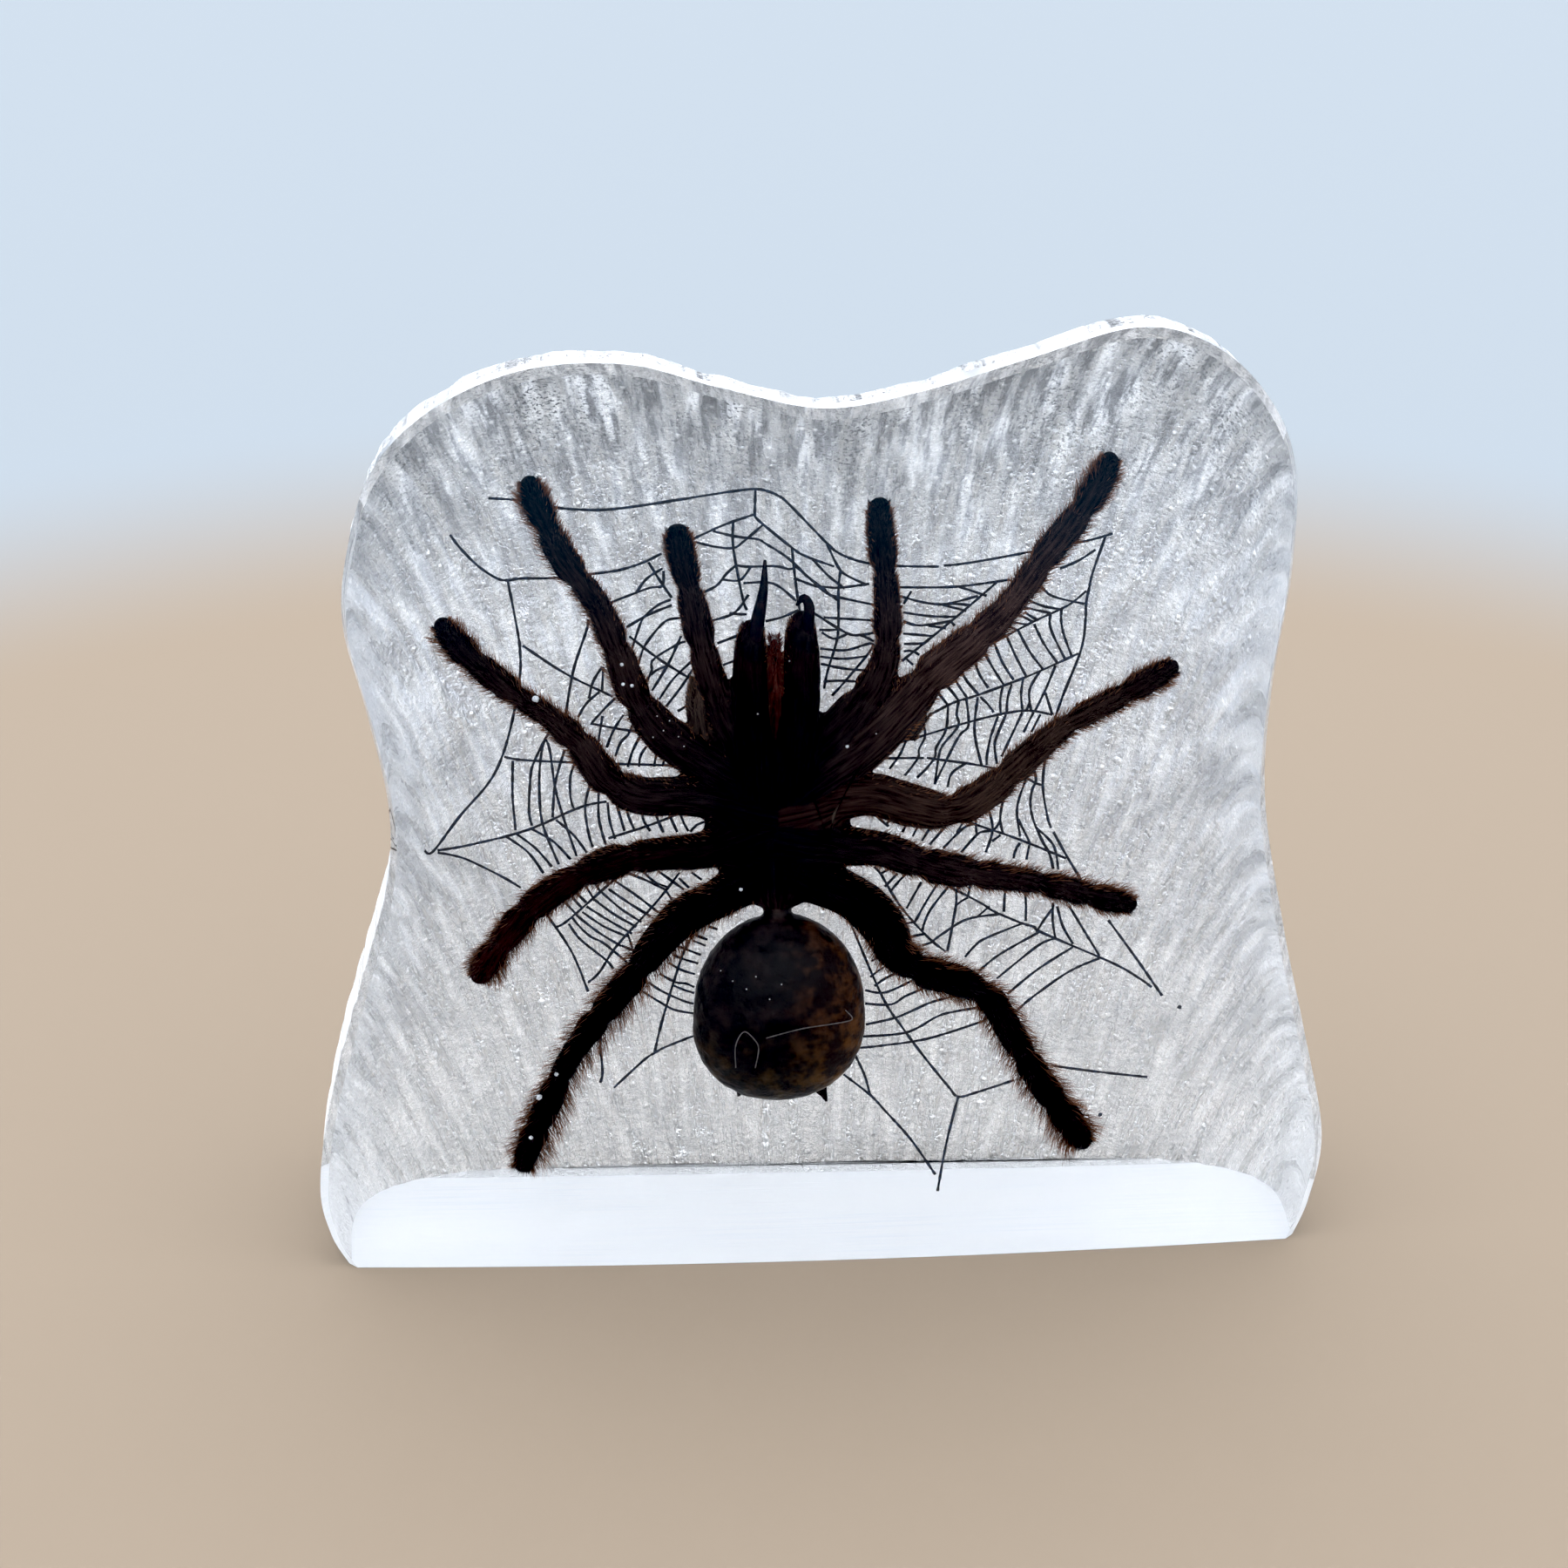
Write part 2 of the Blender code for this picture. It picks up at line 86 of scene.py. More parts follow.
class Graph:
    """A node material in the making, with the shader that it ends in."""

    def __init__(self, name: str) -> None:
        """Starts a material.

        Args:
            name: what the finish is called.
        """
        self.material = bpy.data.materials.new(name)
        self.material.use_nodes = True
        self.tree = self.material.node_tree
        self.shader = self.tree.nodes["Principled BSDF"]

    def node(self, kind: str, inputs: dict | None = None, **settings: object) -> bpy.types.Node:
        """Adds a node.

        Args:
            kind: its type in Blender.
            inputs: sockets to join or values to set, by the input's name or place.
            **settings: the node's own settings.

        Returns:
            The new node.
        """
        made = self.tree.nodes.new(kind)
        for key, value in settings.items():
            setattr(made, key, value)
        for key, value in (inputs or {}).items():
            self.feed(made, key, value)
        return made

    def feed(self, node: bpy.types.Node, key: str | int, value: object) -> None:
        """Joins a socket to an input, or sets the input's value."""
        if isinstance(value, bpy.types.NodeSocket):
            self.tree.links.new(value, node.inputs[key])
        else:
            node.inputs[key].default_value = value

    def place(self, where: Where, scale: Sequence[float] = (1.0, 1.0, 1.0)) -> bpy.types.NodeSocket:
        """Gives the coordinates of a pattern, stretched by a scale."""
        spot = self.node("ShaderNodeTexCoord").outputs[where.value]
        return self.node("ShaderNodeMapping", {"Vector": spot, "Scale": scale}).outputs["Vector"]

    def attribute(self, name: str, output: str) -> bpy.types.NodeSocket:
        """Reads an attribute of the mesh."""
        return self.node("ShaderNodeAttribute", attribute_name=name).outputs[output]

    def noise(
        self, vector: object, scale: float, detail: float = 3.0, rough: float = 0.5
    ) -> bpy.types.NodeSocket:
        """Adds a cloudy pattern.

        Args:
            vector: the coordinates that it follows.
            scale: how many of its features fit in a metre.
            detail: how many finer layers it has.
            rough: how strong those are.

        Returns:
            The socket of its value, about 0.3 to 0.7.
        """
        inputs = {"Vector": vector, "Scale": scale, "Detail": detail, "Roughness": rough}
        return self.node("ShaderNodeTexNoise", inputs).outputs["Fac"]

    def sum(self, how: Maths, first: object, second: object) -> bpy.types.NodeSocket:
        """Does a sum with two numbers or sockets."""
        return self.node("ShaderNodeMath", {0: first, 1: second}, operation=how.value).outputs[0]

    def spread(self, value: object, low: float, high: float, to: tuple[float, float]) -> object:
        """Spreads a range of values over another one, and holds them within it."""
        inputs = {"Value": value, "From Min": low, "From Max": high}
        inputs |= {"To Min": to[0], "To Max": to[1]}
        return self.node("ShaderNodeMapRange", inputs).outputs["Result"]

    def ramp(self, value: object, stops: Stops) -> bpy.types.NodeSocket:
        """Turns a value into a colour.

        Args:
            value: the socket of the value.
            stops: places from 0 to 1 with their colours.

        Returns:
            The socket of the colour.
        """
        made = self.node("ShaderNodeValToRGB", {"Fac": value})
        band = made.color_ramp
        while len(band.elements) < len(stops):
            band.elements.new(0.5)
        for stop, (place, colour) in zip(band.elements, stops):
            stop.position = place
            stop.color = (*colour, 1.0)
        return made.outputs["Color"]

    def tint(self, first: object, second: object, share: object, how: str = "MIX") -> object:
        """Mixes two colours by a share."""
        mixer = self.node("ShaderNodeMix", data_type="RGBA", blend_type=how)
        for key, value in ((0, share), (6, first), (7, second)):
            self.feed(mixer, key, value)
        return mixer.outputs[2]

    def bump(self, height: object, reach: float, strength: float = 1.0) -> None:
        """Roughens the surface by a pattern.

        Args:
            height: the socket of the pattern.
            reach: how far it stands out, in metres.
            strength: how much of it shows.
        """
        inputs = {"Height": height, "Distance": reach, "Strength": strength}
        made = self.node("ShaderNodeBump", inputs)
        self.feed(self.shader, "Normal", made.outputs["Normal"])

    def set(self, **values: object) -> None:
        """Sets the shader's own inputs; an underscore stands for a space in their names."""
        for key, value in values.items():
            self.feed(self.shader, key.replace("_", " "), value)


@dataclass(frozen=True)
class PolishedResin:
    """The clear front, polished flat, with a faint waviness."""

    name: str = "polished_resin"
    colour: Colour = (0.995, 0.998, 1.0)
    index: float = 1.5
    roughness: float = 0.0
    wave: float = 0.00004

    def material(self) -> bpy.types.Material:
        """Makes the node material."""
        graph = Graph(self.name)
        graph.set(Base_Color=(*self.colour, 1.0), Roughness=self.roughness, IOR=self.index)
        graph.set(Transmission_Weight=1.0)
        waves = graph.noise(graph.place(Where.OBJECT), 70.0, 1.0)
        graph.bump(waves, self.wave)
        return graph.material


@dataclass(frozen=True)
class FrostedResin:
    """The back, cast with the crackled and streaked surface of ice."""

    name: str = "frosted_resin"
    colour: Colour = (1.0, 1.0, 1.0)
    index: float = 1.5
    clearness: float = 0.55
    smooth: float = 0.14
    dull: float = 0.75
    grain: float = 0.00060
    grey: Colour = (0.82, 0.85, 0.91)
    # The two darkest colours below are painted shade, laid on streaks and pits mostly near the top
    # of the back.
    shade: Colour = (0.08, 0.08, 0.085)
    pit_painted_shade: Colour = (0.01, 0.01, 0.012)

    def material(self) -> bpy.types.Material:
        """Makes the node material."""
        graph = Graph(self.name)
        graph.set(IOR=self.index, Transmission_Weight=self.clearness)
        spot = graph.place(Where.OBJECT)
        lanes = graph.place(Where.UV, (1500.0, 120.0, 1.0))
        crackle = graph.noise(spot, 1300.0, 4.0, 0.62)
        dents = graph.noise(spot, 420.0, 2.0, 0.5)
        streaks = graph.noise(lanes, 1.0, 4.0, 0.6)
        blisters_and_glints = self._blisters(graph, spot)
        height = graph.sum(Maths.ADD, graph.sum(Maths.TIMES, dents, 0.9), crackle)
        height = graph.sum(Maths.ADD, graph.sum(Maths.TIMES, streaks, 2.0), height)
        height = graph.sum(Maths.ADD, graph.sum(Maths.TIMES, blisters_and_glints, 0.5), height)
        pits = graph.noise(spot, 2300.0, 3.0, 0.6)
        height = graph.sum(Maths.TAKE, height, graph.spread(pits, 0.54, 0.62, (0.0, 0.5)))
        graph.set(Base_Color=self._colour(graph, streaks, pits, blisters_and_glints))
        patches = graph.noise(graph.place(Where.UV, (800.0, 90.0, 1.0)), 1.0, 4.0, 0.6)
        graph.set(Roughness=graph.spread(patches, 0.40, 0.60, (self.dull, self.smooth)))
        graph.bump(height, self.grain)
        return graph.material

    def _colour(self, graph: Graph, streaks: object, pits: object, blisters_and_glints: object) -> object:
        """Colours the surface: each blister is painted white as a glint (a painted highlight);
        streaks are greyer, fading out towards the base; and the dark streaks and pits are painted
        shade, strongest at the top and fading out towards the base.
        """
        part = graph.node("ShaderNodeSeparateXYZ", {0: graph.place(Where.OBJECT)})
        clouds = graph.noise(graph.place(Where.UV, (300.0, 60.0, 1.0)), 1.0, 2.0)
        # Painted shade: the dark streaks and pits are masked to the top of the back, faint in the
        # middle and gone near the base.
        top = graph.spread(part.outputs["Z"], 0.080, 0.104, (0.10, 1.0))
        low = graph.spread(part.outputs["Z"], 0.004, 0.060, (0.0, 1.0))
        top = graph.sum(Maths.TIMES, top, low)
        lane = graph.spread(streaks, 0.48, 0.60, (0.0, 1.0))
        dark = graph.sum(Maths.TIMES, top, lane)
        deep = graph.sum(Maths.TIMES, graph.spread(pits, 0.52, 0.60, (0.0, 1.0)), top)
        deep = graph.sum(Maths.TIMES, deep, graph.spread(clouds, 0.35, 0.60, (0.35, 1.0)))
        dim = graph.sum(Maths.TIMES, graph.spread(streaks, 0.4, 0.6, (0.0, 1.0)), low)
        pale = graph.tint((*self.colour, 1.0), (*self.grey, 1.0), dim)
        tone = graph.tint(pale, (*self.shade, 1.0), graph.sum(Maths.TIMES, dark, 0.9))
        tone = graph.tint(tone, (*self.pit_painted_shade, 1.0), deep)
        # Painted highlight: each blister is turned white, as a glint.
        return graph.tint(tone, (1.0, 1.0, 1.0, 1.0), blisters_and_glints)

    @staticmethod
    def _blisters(graph: Graph, spot: object) -> bpy.types.NodeSocket:
        """Scatters small round bumps, each a blister that raises the surface and is painted white
        as a glint, a painted highlight.
        """
        inputs = {"Vector": spot, "Scale": 560.0}
        away = graph.node("ShaderNodeTexVoronoi", inputs).outputs["Distance"]
        return graph.spread(away, 0.08, 0.26, (1.0, 0.0))


@dataclass(frozen=True)
class GroundBase:
    """The base, ground flat and left white, with fine scratches along it."""

    name: str = "ground_base"
    colour: Colour = (1.0, 1.0, 1.0)
    worn: Colour = (0.90, 0.93, 0.97)
    roughness: float = 0.6

    def material(self) -> bpy.types.Material:
        """Makes the node material."""
        graph = Graph(self.name)
        scratches = graph.noise(graph.place(Where.OBJECT, (60.0, 2200.0, 1.0)), 1.0, 4.0, 0.6)
        clouds = graph.noise(graph.place(Where.OBJECT, (22.0, 60.0, 1.0)), 1.0, 2.0, 0.5)
        pale = graph.ramp(scratches, ((0.32, self.worn), (0.55, self.colour)))
        share = graph.spread(clouds, 0.4, 0.62, (0.15, 0.9))
        graph.set(Base_Color=graph.tint((*self.colour, 1.0), pale, share))
        graph.set(Roughness=self.roughness, IOR=1.5)
        graph.bump(scratches, 0.0001)
        return graph.material


@dataclass(frozen=True)
class Hide:
    """The spider's dark skin under its hair, with streaks along each limb."""

    name: str = "hide"
    roughness: float = 0.85
    gloss: float = 0.06

    def material(self) -> bpy.types.Material:
        """Makes the node material."""
        graph = Graph(self.name)
        own = graph.attribute("tint", "Color")
        streaks = graph.noise(graph.place(Where.UV, (260.0, 2600.0, 1.0)), 1.0, 3.0, 0.6)
        dark = graph.tint(own, (0.15, 0.12, 0.12, 1.0), 1.0, "MULTIPLY")
        graph.set(Base_Color=graph.tint(dark, own, graph.spread(streaks, 0.4, 0.7, (0.0, 1.0))))
        graph.set(Roughness=self.roughness, Specular_IOR_Level=self.gloss)
        graph.bump(streaks, 0.0002)
        return graph.material


@dataclass(frozen=True)
class AbdomenSkin:
    """The glossy brown-black abdomen with rusty mottles."""

    name: str = "abdomen_skin"
    roughness: float = 0.45
    gloss: float = 0.10

    def material(self) -> bpy.types.Material:
        """Makes the node material."""
        graph = Graph(self.name)
        spot = graph.place(Where.OBJECT)
        mottles = graph.noise(spot, 420.0, 5.0, 0.62)
        own = graph.attribute("tint", "Color")
        dark = graph.tint(own, (0.10, 0.08, 0.08, 1.0), 1.0, "MULTIPLY")
        graph.set(Base_Color=graph.tint(dark, own, graph.spread(mottles, 0.47, 0.66, (0.0, 1.0))))
        graph.set(Roughness=self.roughness, Specular_IOR_Level=self.gloss)
        graph.bump(graph.noise(spot, 900.0, 3.0), 0.00025)
        return graph.material


@dataclass(frozen=True)
class FangHorn:
    """Hard and glossy, near black."""

    name: str = "fang_horn"
    colour: Colour = (0.002, 0.0025, 0.005)

    def material(self) -> bpy.types.Material:
        """Makes the node material."""
        graph = Graph(self.name)
        grain = graph.noise(graph.place(Where.OBJECT), 1200.0, 2.0)
        red = graph.ramp(grain, ((0.4, self.colour), (0.75, (0.012, 0.006, 0.007))))
        graph.set(Base_Color=red, Roughness=0.25, Specular_IOR_Level=0.04)
        return graph.material


@dataclass(frozen=True)
class HairColour:
    """Hair that is dark at its root and rusty to pale at its tip."""

    name: str = "hair"
    roughness: float = 0.6
    gloss: float = 0.1

    def material(self) -> bpy.types.Material:
        """Makes the node material."""
        graph = Graph(self.name)
        graph.set(Base_Color=graph.attribute("tint", "Color"), Roughness=self.roughness)
        graph.set(Specular_IOR_Level=self.gloss)
        return graph.material


@dataclass(frozen=True)
class ClearFilm:
    """The film that carries the web: as clear as the resin round it, so it bends no light."""

    name: str = "clear_film_sheet"
    index: float = 1.0

    def material(self) -> bpy.types.Material:
        """Makes the node material."""
        graph = Graph(self.name)
        grain = graph.noise(graph.place(Where.OBJECT), 900.0, 1.0)
        clear = graph.ramp(grain, ((0.0, (0.995, 0.997, 1.0)), (1.0, (1.0, 1.0, 1.0))))
        graph.set(Base_Color=clear, Roughness=0.0, IOR=self.index, Transmission_Weight=1.0)
        return graph.material


@dataclass(frozen=True)
class Ink:
    """Blue-black print, slightly stippled."""

    name: str = "ink"

    def material(self) -> bpy.types.Material:
        """Makes the node material."""
        graph = Graph(self.name)
        dots = graph.noise(graph.place(Where.OBJECT), 2600.0, 1.0)
        blue = graph.ramp(dots, ((0.45, (0.001, 0.002, 0.006)), (0.72, (0.015, 0.028, 0.06))))
        graph.set(Base_Color=blue, Roughness=0.7)
        return graph.material


@dataclass(frozen=True)
class PaleFleck:
    """White specks, and stray pale fibres; the specks are partly dust, white of its own, and partly
    air, whose white is a painted reflection.
    """

    name: str = "pale_fleck"
    colour: Colour = (0.85, 0.88, 0.92)
    dull: Colour = (0.45, 0.48, 0.52)

    def material(self) -> bpy.types.Material:
        """Makes the node material."""
        graph = Graph(self.name)
        grain = graph.noise(graph.place(Where.OBJECT), 3000.0, 1.0)
        white = graph.ramp(grain, ((0.35, self.dull), (0.6, self.colour)))
        graph.set(Base_Color=white, Roughness=0.5)
        return graph.material


@dataclass(frozen=True)
class FloorFinish:
    """A plain pale floor, warm near the block and fading to the cool white of the surroundings."""

    name: str = "floor"
    near: Colour = (0.222, 0.175, 0.130)
    far: Colour = (0.225, 0.245, 0.262)
    start: float = 0.20
    end: float = 0.30

    def material(self) -> bpy.types.Material:
        """Makes the node material."""
        graph = Graph(self.name)
        spot = graph.place(Where.OBJECT)
        away = graph.node("ShaderNodeVectorMath", {0: spot}, operation="LENGTH").outputs["Value"]
        share = graph.spread(away, self.start, self.end, (0.0, 1.0))
        smooth = graph.node("ShaderNodeValToRGB", {"Fac": share})
        smooth.color_ramp.interpolation = "EASE"
        near, far = (*self.near, 1.0), (*self.far, 1.0)
        graph.set(Base_Color=graph.tint(near, far, smooth.outputs["Color"]), Roughness=0.9)
        graph.set(Specular_IOR_Level=0.05)
        return graph.material


def select_none() -> None:
    bpy.ops.object.select_all(action="DESELECT")


def select_only(thing: bpy.types.Object) -> None:
    """Makes one object the selected and active one."""
    select_none()
    thing.select_set(True)
    bpy.context.view_layer.objects.active = thing


def keep_modifiers(thing: bpy.types.Object) -> None:
    """Applies an object's modifiers in order."""
    select_only(thing)
    for modifier in list(thing.modifiers):
        bpy.ops.object.modifier_apply(modifier=modifier.name)


def join(parts: Sequence[bpy.types.Object], name: str) -> bpy.types.Object:
    """Joins parts to the first of them, and names it.

    Args:
        parts: the parts, of which the first is kept.
        name: what the whole is called.

    Returns:
        The whole.
    """
    select_only(parts[0])
    for part in parts:
        part.select_set(True)
    bpy.ops.object.join()
    parts[0].name = parts[0].data.name = name
    return parts[0]


def smooth(thing: bpy.types.Object) -> None:
    """Shades a piece smooth."""
    thing.data.polygons.foreach_set("use_smooth", [True] * len(thing.data.polygons))


def read(parts: object, key: str, width: int = 3, kind: type = np.float32) -> np.ndarray:
    """Reads one value of every point, corner or face of a mesh.

    Args:
        parts: the mesh's points, corners or faces.
        key: which value.
        width: how many numbers the value has.
        kind: the kind of number.

    Returns:
        The values, one row each, or one number each where the width is 1.
    """
    found = np.zeros(len(parts) * width, kind)
    parts.foreach_get(key, found)
    return found.reshape(-1, width) if width > 1 else found


def lay_flow(mesh: bpy.types.Mesh, layer: bpy.types.MeshUVLoopLayer, ways: np.ndarray) -> None:
    """Keeps how the streaks of a surface run, as a UV map.

    Args:
        mesh: the mesh.
        layer: the UV map.
        ways: for each point of the mesh, its place across the streaks and along them.
    """
    corners = read(mesh.loops, "vertex_index", 1, np.int32)
    layer.uv.foreach_set("vector", ways[corners].astype(np.float32).ravel())


def tubes(
    name: str, runs: Iterable[np.ndarray], thickness: float, rounding: int
) -> bpy.types.Object:
    """Makes round tubes with closed ends.

    Args:
        name: what they are called.
        runs: for each tube a row for each of its points: x, y, z and its share of the thickness.
        thickness: the radius of a tube where the share is 1, in metres.
        rounding: how finely they are rounded.

    Returns:
        The tubes as one piece.
    """
    curve = bpy.data.curves.new(name, "CURVE")
    curve.dimensions = "3D"
    curve.bevel_depth = thickness
    curve.bevel_resolution = rounding
    curve.use_fill_caps = True
    for points in runs:
        run = curve.splines.new("POLY")
        run.points.add(len(points) - 1)
        for knot, (x, y, z, share) in zip(run.points, points):
            knot.co = (x, y, z, 1.0)
            knot.radius = share
    thing = bpy.data.objects.new(name, curve)
    bpy.context.scene.collection.objects.link(thing)
    select_only(thing)
    bpy.ops.object.convert(target="MESH")
    return bpy.context.object


def curve_through(points: np.ndarray, count: int) -> np.ndarray:
    """Samples a smooth curve that passes through every point.

    Args:
        points: one row for each point, with any number of columns.
        count: how many samples to take.

    Returns:
        The samples, one row each.
    """
    ends = np.vstack((points[:1], points, points[-1:]))
    along = np.linspace(0.0, len(points) - 1, count)
    index = np.minimum(along.astype(int), len(points) - 2)
    t = (along - index)[:, None]
    a, b, c, d = (ends[index + k] for k in range(4))
    return 0.5 * (
        2 * b + (c - a) * t + (2 * a - 5 * b + 4 * c - d) * t**2 + (3 * b - a - 3 * c + d) * t**3
    )


def unit(rows: np.ndarray) -> np.ndarray:
    """Gives each row the length one."""
    return rows / np.maximum(np.linalg.norm(rows, axis=1), 1e-9)[:, None]


def piece_from(name: str, points: np.ndarray, faces: np.ndarray) -> bpy.types.Object:
    """Makes an object of faces that all have the same number of corners.

    Args:
        name: what the piece is called.
        points: one row of x, y, z for each point, in metres.
        faces: one row of point numbers for each face.

    Returns:
        The new object, at the origin.
    """
    mesh = bpy.data.meshes.new(name)
    mesh.vertices.add(len(points))
    mesh.vertices.foreach_set("co", np.asarray(points, np.float32).ravel())
    mesh.loops.add(faces.size)
    mesh.loops.foreach_set("vertex_index", np.asarray(faces, np.int32).ravel())
    mesh.polygons.add(len(faces))
    mesh.polygons.foreach_set("loop_start", np.arange(len(faces), dtype=np.int32) * faces.shape[1])
    mesh.update(calc_edges=True)
    mesh.validate()
    thing = bpy.data.objects.new(name, mesh)
    bpy.context.scene.collection.objects.link(thing)
    return thing


def paint(thing: bpy.types.Object, name: str, colours: np.ndarray) -> None:
    """Keeps a colour for each point of a mesh.

    Args:
        thing: the object.
        name: what the attribute is called.
        colours: one row of red, green and blue for each point.
    """
    layer = thing.data.attributes.new(name, "FLOAT_COLOR", "POINT")
    whole = np.hstack((colours, np.ones((len(colours), 1))))
    layer.data.foreach_set("color", whole.astype(np.float32).ravel())


@dataclass
class ResinBlock:
    """The clear casting: polished front, narrow rim, frosty back and ground base.

    A streak's size is its width and length in metres, and the last number is where its pattern is
    cut from the noise. Rings on the back crowd towards the edge, and stop short of the spine.
    """

    sectors: int = 560
    front_rows: int = 10
    rim_rows: int = 6
    back_rows: int = 132
    bevel: float = 0.001
    rim: float = 0.0035
    top_taper: float = 0.30
    taper_power: float = 1.5
    side_taper: float = 0.06
    side_fullness: float = 4.0
    top_fullness: float = 2.0
    ridge: float = 0.0006
    lump: float = 0.0009
    lump_size: float = 0.012
    streak: float = 0.00040
    streak_size: tuple = (0.0016, 0.012, 3.0)
    fine_streak: float = 0.6
    fine_streak_size: tuple = (0.0007, 0.006, 7.0)
    crust: float = 0.00018
    crust_sizes: tuple = (0.0024, 0.0011)
    edge_lumps: tuple = ((0.35, 0.0045), (0.2, 0.0016))
    edge_in: float = 0.25
    crowding: float = 1.7
    spine: float = 0.985
    fan: float = 8.0
    flow_root: float = 0.030
    ground_depth: float = 0.0352
    outline: tuple = (
        (-57.0, 0.0), (-59.0, 4.0), (-60.0, 10.5), (-58.3, 22.0), (-54.2, 37.0), (-50.6, 50.0),
        (-50.0, 60.0), (-52.0, 71.5), (-54.3, 82.5), (-53.3, 91.8), (-50.2, 100.8), (-43.6, 107.6),
        (-33.6, 112.1), (-22.2, 112.7), (-11.6, 109.8), (-0.4, 107.3), (10.2, 109.0), (21.8, 112.4),
        (33.8, 115.7), (42.0, 113.7), (48.6, 107.7), (52.4, 99.0), (52.6, 86.0), (51.0, 72.0),
        (50.9, 58.0), (54.0, 41.0), (57.0, 28.0), (59.9, 14.0), (58.8, 5.0), (57.0, 0.0),
    )

    def build(self) -> bpy.types.Object:
        """Models the block and gives each kind of surface its finish.

        Returns:
            The block, which stands for both halves of the solid.
        """
        rows = self._rows()
        block = self._sheet(len(rows) - 1)
        self._lay(block, rows)
        self._close(block, len(rows))
        # Painted shade: the rim's clear resin gets a dark bluish-grey colour, which dims the light
        # that it reflects and lets through.
        rim = PolishedResin("rim_painted_shade", (0.22, 0.26, 0.31), roughness=0.3, wave=0.0012)
        finishes = (PolishedResin(), FrostedResin(), GroundBase(), rim)
        for finish in finishes:
            block.data.materials.append(finish.material())
        self._assign(block)
        select_only(block)
        bpy.ops.object.shade_smooth_by_angle(angle=math.radians(40))
        return block

    def _even_outline(self) -> np.ndarray:
        """Samples the outline at even distances, from the left end of the base to the right."""
        fine = curve_through(np.array(self.outline) * MM, 6000)
        steps = np.linalg.norm(np.diff(fine, axis=0), axis=1)
        reach = np.concatenate(([0.0], np.cumsum(steps)))
        goals = np.linspace(0.0, reach[-1], self.sectors + 1)
        points = np.column_stack([np.interp(goals, reach, fine[:, k]) for k in range(2)])
        points[[0, -1], 1] = 0.0
        return points

    @staticmethod
    def _inward(points: np.ndarray, share: float) -> np.ndarray:
        """Moves the outline in towards a spine up the middle."""
        return np.column_stack((points[:, 0] * share, points[:, 1] * (1 + share) / 2))

    @staticmethod
    def _front(x: np.ndarray) -> np.ndarray:
        """Depth of the polished front at x."""
        return -DEPTH / 2 + FRONT_BULGE * (2 * x / WIDTH) ** 2

    def _rows(self) -> list[np.ndarray]:
        """Works out rings of points from the front's spine, over the rim, to the back's.

        Returns:
            The rings, each with a row for each point.
        """
        outline = self._even_outline()
        turn = np.linspace(0.0, 1.0, self.sectors + 1)
        rows = []
        shrink = 1 - self.bevel / np.linalg.norm(outline, axis=1)[:, None]
        rings = [self._inward(outline, share) for share in np.linspace(0.02, 0.97, self.front_rows)]
        for ring in [*rings, outline * shrink]:
            rows.append(np.column_stack((ring[:, 0], self._front(ring[:, 0]), ring[:, 1])))
        edge = self._wobble(outline)
        for depth in np.linspace(self.bevel, self.rim, self.rim_rows):
            part = (depth - self.bevel) / (self.rim - self.bevel)
            ring = outline + (edge - outline) * part
            rows.append(np.column_stack((ring[:, 0], self._front(ring[:, 0]) + depth, ring[:, 1])))
        for step in range(1, self.back_rows + 1):
            share = 1 - (step / self.back_rows) ** self.crowding * self.spine
            ring = self._inward(outline + (edge - outline) * share**6, share)
            depth = self._back(ring, turn, share)
            rows.append(np.column_stack((ring[:, 0], depth, ring[:, 1])))
        return rows

    def _flow(self, x: np.ndarray, z: np.ndarray) -> np.ndarray:
        """Says how the frozen streaks run: up the block, fanning out towards its top.

        Args:
            x: distances across, in metres.
            z: heights, in metres.

        Returns:
            For each point, the number of its streak and its place along it, in metres.
        """
        fan = np.exp(self.fan * z)
        return np.column_stack((x / fan, np.hypot(x, z + self.flow_root)))

    def _wobble(self, outline: np.ndarray) -> np.ndarray:
        """Roughens the outline behind the bevel, as the frosty cast edge is."""
        out = outline.copy()
        middle = np.array((0.0, 0.05))
        for i, point in enumerate(outline):
            away = point - middle
            away /= np.linalg.norm(away)
            spot = Vector((point[0], point[1], 0.0))
            size = sum(high * noise.noise(spot / wide) for high, wide in self.edge_lumps)
            out[i] += away * (size - self.edge_in) * MM
        out[:, 1] = np.maximum(out[:, 1], 0.0)
        out[[0, -1], 1] = 0.0
        return out

    def _back(self, ring: np.ndarray, turn: np.ndarray, share: float) -> np.ndarray:
        """Depth of the frosty back along one ring.

        Args:
            ring: x and z of the ring's points.
            turn: how far along the outline each is, from 0 to 1.
            share: how far out from the spine the ring is, from 0 to 1.

        Returns:
            The y of each point.
        """
        x, z = ring[:, 0], np.maximum(ring[:, 1], 0.0)
        rise = np.sin(np.pi * turn)
        fullness = self.side_fullness + (self.top_fullness - self.side_fullness) * rise**2
        upwards = 1 - self.top_taper * (z / HEIGHT) ** self.taper_power
        taper = upwards * (1 - self.side_taper * 2 * x / WIDTH)
        dome = (1 - min(share, 1.0) ** fullness) ** (1 / fullness)
        depth = ((DEPTH - self.lump) * taper - self.rim) * dome
        return self._front(x) + self.rim + depth + self._relief(ring, turn, share) * dome

